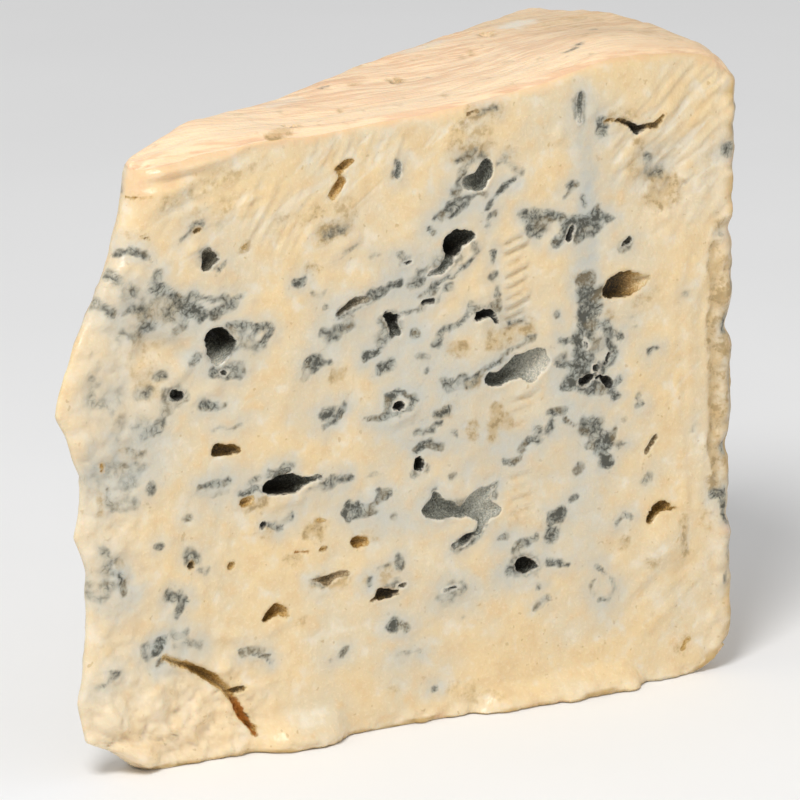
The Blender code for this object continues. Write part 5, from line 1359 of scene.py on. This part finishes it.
def rind_material(colours, groups):
    """The rind: a peach, creased skin on top and base, tan round the rim, with its own mould spots."""
    material, bench, surface, place = start_material("blue_cheese_rind")
    mottle = place_group(bench, groups["mottle"], Place=place)
    clouds, clots, grain = mottle["Clouds"], mottle["Clots"], mottle["Grain"]
    skin = place_group(bench, groups["rind"], Place=place, Crown=bench.field("crown"), Worn=bench.field("tan_and_shade"),
                       Clouds=clouds, Clots=clots, Top_colour=tuple(colours.rind_top) + (1.0,), Crease_colour=tuple(colours.rind_crease) + (1.0,),
                       Rim_colour=tuple(colours.rind_rim) + (1.0,), Bloom_colour=tuple(colours.rind_bloom) + (1.0,))
    pale = bench.mix(bench.field("veil"), skin["Color"], tuple(colours.paste_milk) + (1.0,))
    mould = place_group(bench, groups["mould"], Surface=pale, Place=place, Slate=bench.field("slate"),
                        Haze=bench.field("haze"), Ochre=bench.field("ochre"), Haze_colour=tuple(colours.haze) + (1.0,),
                        Body_colour=tuple(colours.slate) + (1.0,), Thread_colour=tuple(colours.thread) + (1.0,),
                        Stain_colour=tuple(colours.stain) + (1.0,))
    inside = bench.ease(bench.field("hole"), 0.1, -0.3)
    colour = bench.mix(inside, mould["Color"], tuple(colours.thread) + (1.0,))
    roughness = bench.ease(skin["Wax"], 0.0, 1.0, 0.46, 0.62)
    roughness = bench.maths("ADD", roughness, bench.maths("MULTIPLY", mould["Cover"], 0.12))
    gloss = bench.ease(clots, 0.55, 0.8, 0.02, 0.3)
    height = bench.maths("ADD", bench.maths("MULTIPLY", skin["Height"], 0.36), bench.maths("MULTIPLY", grain, 0.06))
    height = bench.maths("ADD", height, bench.maths("MULTIPLY", mould["Height"], 0.12))
    finish_surface(bench, surface, colour, roughness, gloss, height, 0.8)
    return material


def colour_property(name, description, default):
    """A colour in the sidebar."""
    return bpy.props.FloatVectorProperty(name=name, description=description, default=default, size=3, min=0.0, max=1.0,
                                         subtype="COLOR")


class CheeseShapeSettings(bpy.types.PropertyGroup):
    """Sizes of the wedge."""

    wheel_radius: bpy.props.FloatProperty(
        name="Wheel radius", description="From the wheel's axis to its rim", default=0.100, min=0.08, max=0.12, unit="LENGTH")
    edge_roll: bpy.props.FloatProperty(
        name="Edge roll", description="Radius of the rind's rolled edge over the cuts", default=0.0016, min=0.0003, max=0.004,
        unit="LENGTH")
    wrinkles: bpy.props.FloatProperty(
        name="Wrinkles", description="Height of the fine wrinkles of the top rind", default=0.00022, min=0.0, max=0.001,
        unit="LENGTH")
    hole_depth: bpy.props.FloatProperty(
        name="Hole depth", description="How deep the holes are, as a share of their real depth", default=1.0, min=0.2, max=1.5,
        subtype="FACTOR")
    lumps: bpy.props.FloatProperty(
        name="Lumps", description="How far the lumps of the cut stand out", default=1.0, min=0.0, max=2.0, subtype="FACTOR")
    crumbs: bpy.props.FloatProperty(
        name="Crumbs", description="How crumbly the tip and foot are", default=1.0, min=0.0, max=2.0, subtype="FACTOR")
    knife_marks: bpy.props.FloatProperty(
        name="Knife marks", description="How strong the marks of the knife are", default=1.0, min=0.0, max=2.0,
        subtype="FACTOR")


class CheeseColourSettings(bpy.types.PropertyGroup):
    """Colours of the paste, mould and rind."""

    paste_warm: colour_property("Warm paste", "Cream of the buttery parts", srgb(232, 206, 159)[:3])
    paste_pale: colour_property("Pale paste", "Cream of the plainer parts", srgb(220, 204, 172)[:3])
    paste_butter: colour_property("Butter", "Yellow of the fatty clots", srgb(225, 195, 147)[:3])
    paste_milk: colour_property("Milk", "White of the dry clots", srgb(233, 225, 207)[:3])
    crumb: colour_property("Crumb", "Paste between the crumbs", srgb(247, 226, 193)[:3])
    veil: colour_property("Veil", "Bluish grey of the thin mould haze", srgb(188, 190, 183)[:3])
    haze: colour_property("Haze", "Milky grey round the mould", srgb(194, 195, 187)[:3])
    slate: colour_property("Slate", "Olive grey of the mould's body", srgb(142, 145, 134)[:3])
    thread: colour_property("Thread", "Dark green-black of the mould's threads", srgb(56, 55, 45)[:3])
    stain: colour_property("Stain", "Olive ochre of the stains", srgb(182, 150, 92)[:3])
    rind_top: colour_property("Top rind", "Peach of the top rind", srgb(255, 225, 186)[:3])
    rind_lip: colour_property("Rind lip", "Cream of the rind's lip over the cuts", srgb(234, 200, 156)[:3])
    rind_band: colour_property("Rind band", "Straw yellow of the rind's edge at the rim", srgb(196, 165, 110)[:3])
    rind_crease: colour_property("Creases", "Pink tan of the creases", srgb(228, 186, 148)[:3])
    rind_rim: colour_property("Rim rind", "Tan of the rim", srgb(172, 144, 92)[:3])
    rind_bloom: colour_property("Bloom", "Pale bloom of the rind", srgb(240, 218, 186)[:3])


class CheeseStudioSettings(bpy.types.PropertyGroup):
    """Floor, lights and camera."""

    floor_colour: colour_property("Floor", "Colour of the floor and of the light from all round", (0.90, 0.90, 0.90))
    floor_radius: bpy.props.FloatProperty(
        name="Floor radius", description="Size of the round floor", default=3.0, min=0.5, max=20.0, unit="LENGTH")
    key_power: bpy.props.FloatProperty(
        name="Key light", description="Power of the main light", default=6.05, min=0.0, max=200.0, unit="POWER")
    fill_power: bpy.props.FloatProperty(
        name="Fill light", description="Power of the light from the other side", default=1.15, min=0.0, max=200.0, unit="POWER")
    sky_strength: bpy.props.FloatProperty(
        name="Light all round", description="Strength of the even light from all round", default=0.57, min=0.0, max=5.0)


class MESH_OT_blue_cheese_wedge(bpy.types.Operator):
    """Builds the wedge: its cut paste, holes, mould and rind"""

    bl_idname = "mesh.blue_cheese_wedge"
    bl_label = "Blue cheese wedge"

    def execute(self, context):
        mesh = build_wedge_mesh(context.scene.cheese_shape)
        groups = {"mottle": fat_mottle_group(), "mould": mould_growth_group(), "rind": rind_skin_group()}
        colours = context.scene.cheese_colours
        mesh.materials.append(cut_paste_material(colours, groups))
        mesh.materials.append(rind_material(colours, groups))
        piece = bpy.data.objects.new("cheese_body", mesh)
        context.scene.collection.objects.link(piece)
        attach(piece, "root")
        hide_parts(CAD_NODE)
        return {"FINISHED"}


# Where the camera looks from: the point it faces, in millimetres, its turn and height in degrees, and its
# distance in millimetres and lens.
VIEW_TURN = -41.62
VIEW_HEIGHT = 15.36
VIEW_DISTANCE = 1000.0
VIEW_LENS = 343.9
VIEW_TARGET = (3.96, -2.53, 41.92)


class SCENE_OT_cheese_studio(bpy.types.Operator):
    """Lays the floor, hangs the lights and sets up the camera"""

    bl_idname = "scene.cheese_studio"
    bl_label = "Cheese studio"

    def execute(self, context):
        studio = context.scene.cheese_studio
        self.lay_floor(context, studio)
        self.light(context, "key_light", studio.key_power, (-0.52, -0.32, 0.76), 0.31)
        self.light(context, "fill_light", studio.fill_power, (1.0, -0.7, 0.5), 0.9)
        world = bpy.data.worlds.new("pale_room")
        world.use_nodes = True
        background = world.node_tree.nodes["Background"]
        background.inputs["Color"].default_value = tuple(studio.floor_colour) + (1.0,)
        background.inputs["Strength"].default_value = studio.sky_strength
        context.scene.world = world
        context.scene.view_settings.view_transform = "Standard"
        self.set_camera(context)
        return {"FINISHED"}

    def lay_floor(self, context, studio):
        bench_top = bmesh.new()
        bmesh.ops.create_circle(bench_top, cap_ends=True, segments=96, radius=studio.floor_radius)
        mesh = bpy.data.meshes.new("studio_floor")
        bench_top.to_mesh(mesh)
        bench_top.free()
        material, bench, surface, place = start_material("matt_floor")
        shade = bench.noise(place, 60.0, 2.0, 0.5)
        bench.feed(surface["Base Color"], bench.mix(bench.ease(shade, 0.3, 0.7), tuple(studio.floor_colour) + (1.0,),
                                                    tuple(c * 0.985 for c in studio.floor_colour) + (1.0,)))
        surface["Roughness"].default_value = 0.7
        mesh.materials.append(material)
        floor = bpy.data.objects.new("studio_floor", mesh)
        context.scene.collection.objects.link(floor)

    def light(self, context, name, power, place, size):
        lamp = bpy.data.lights.new(name, "AREA")
        lamp.energy = power
        lamp.size = size
        lamp.shape = "DISK"
        holder = bpy.data.objects.new(name, lamp)
        holder.location = place
        middle = Vector((0.0, 0.0, 0.04))
        holder.rotation_euler = (middle - holder.location).to_track_quat("-Z", "Y").to_euler()
        context.scene.collection.objects.link(holder)

    def set_camera(self, context):
        turn, height = math.radians(VIEW_TURN), math.radians(VIEW_HEIGHT)
        back = Vector((math.sin(turn) * math.cos(height), -math.cos(turn) * math.cos(height), math.sin(height)))
        right = Vector((math.cos(turn), math.sin(turn), 0.0))
        upward = back.cross(right)
        aim = Vector(VIEW_TARGET)
        camera = bpy.data.cameras.new("camera")
        camera.lens = VIEW_LENS
        camera.clip_start = 0.05
        holder = bpy.data.objects.new("camera", camera)
        holder.matrix_world = Matrix.Translation((aim + back * VIEW_DISTANCE) * MM) @ Matrix(
            (right, upward, back)).transposed().to_4x4()
        context.scene.collection.objects.link(holder)
        context.scene.camera = holder


class VIEW3D_PT_blue_cheese(bpy.types.Panel):
    """Sidebar panel of the wedge and its studio"""

    bl_idname = "VIEW3D_PT_blue_cheese"
    bl_label = "Blue cheese wedge"
    bl_space_type = "VIEW_3D"
    bl_region_type = "UI"
    bl_category = "Cheese"

    def draw(self, context):
        for operator, settings in ((MESH_OT_blue_cheese_wedge, (context.scene.cheese_shape, context.scene.cheese_colours)),
                                   (SCENE_OT_cheese_studio, (context.scene.cheese_studio,))):
            box = self.layout.box()
            box.operator(operator.bl_idname)
            for group in settings:
                for name in group.__annotations__:
                    box.prop(group, name)


CLASSES = (CheeseShapeSettings, CheeseColourSettings, CheeseStudioSettings, MESH_OT_blue_cheese_wedge,
           SCENE_OT_cheese_studio, VIEW3D_PT_blue_cheese)


def register():
    for cls in CLASSES:
        bpy.utils.register_class(cls)
    bpy.types.Scene.cheese_shape = bpy.props.PointerProperty(type=CheeseShapeSettings)
    bpy.types.Scene.cheese_colours = bpy.props.PointerProperty(type=CheeseColourSettings)
    bpy.types.Scene.cheese_studio = bpy.props.PointerProperty(type=CheeseStudioSettings)


def unregister():
    del bpy.types.Scene.cheese_studio
    del bpy.types.Scene.cheese_colours
    del bpy.types.Scene.cheese_shape
    for cls in reversed(CLASSES):
        bpy.utils.unregister_class(cls)


def main():
    register()
    bpy.ops.mesh.blue_cheese_wedge()
    bpy.ops.scene.cheese_studio()


if __name__ == "__main__":
    main()
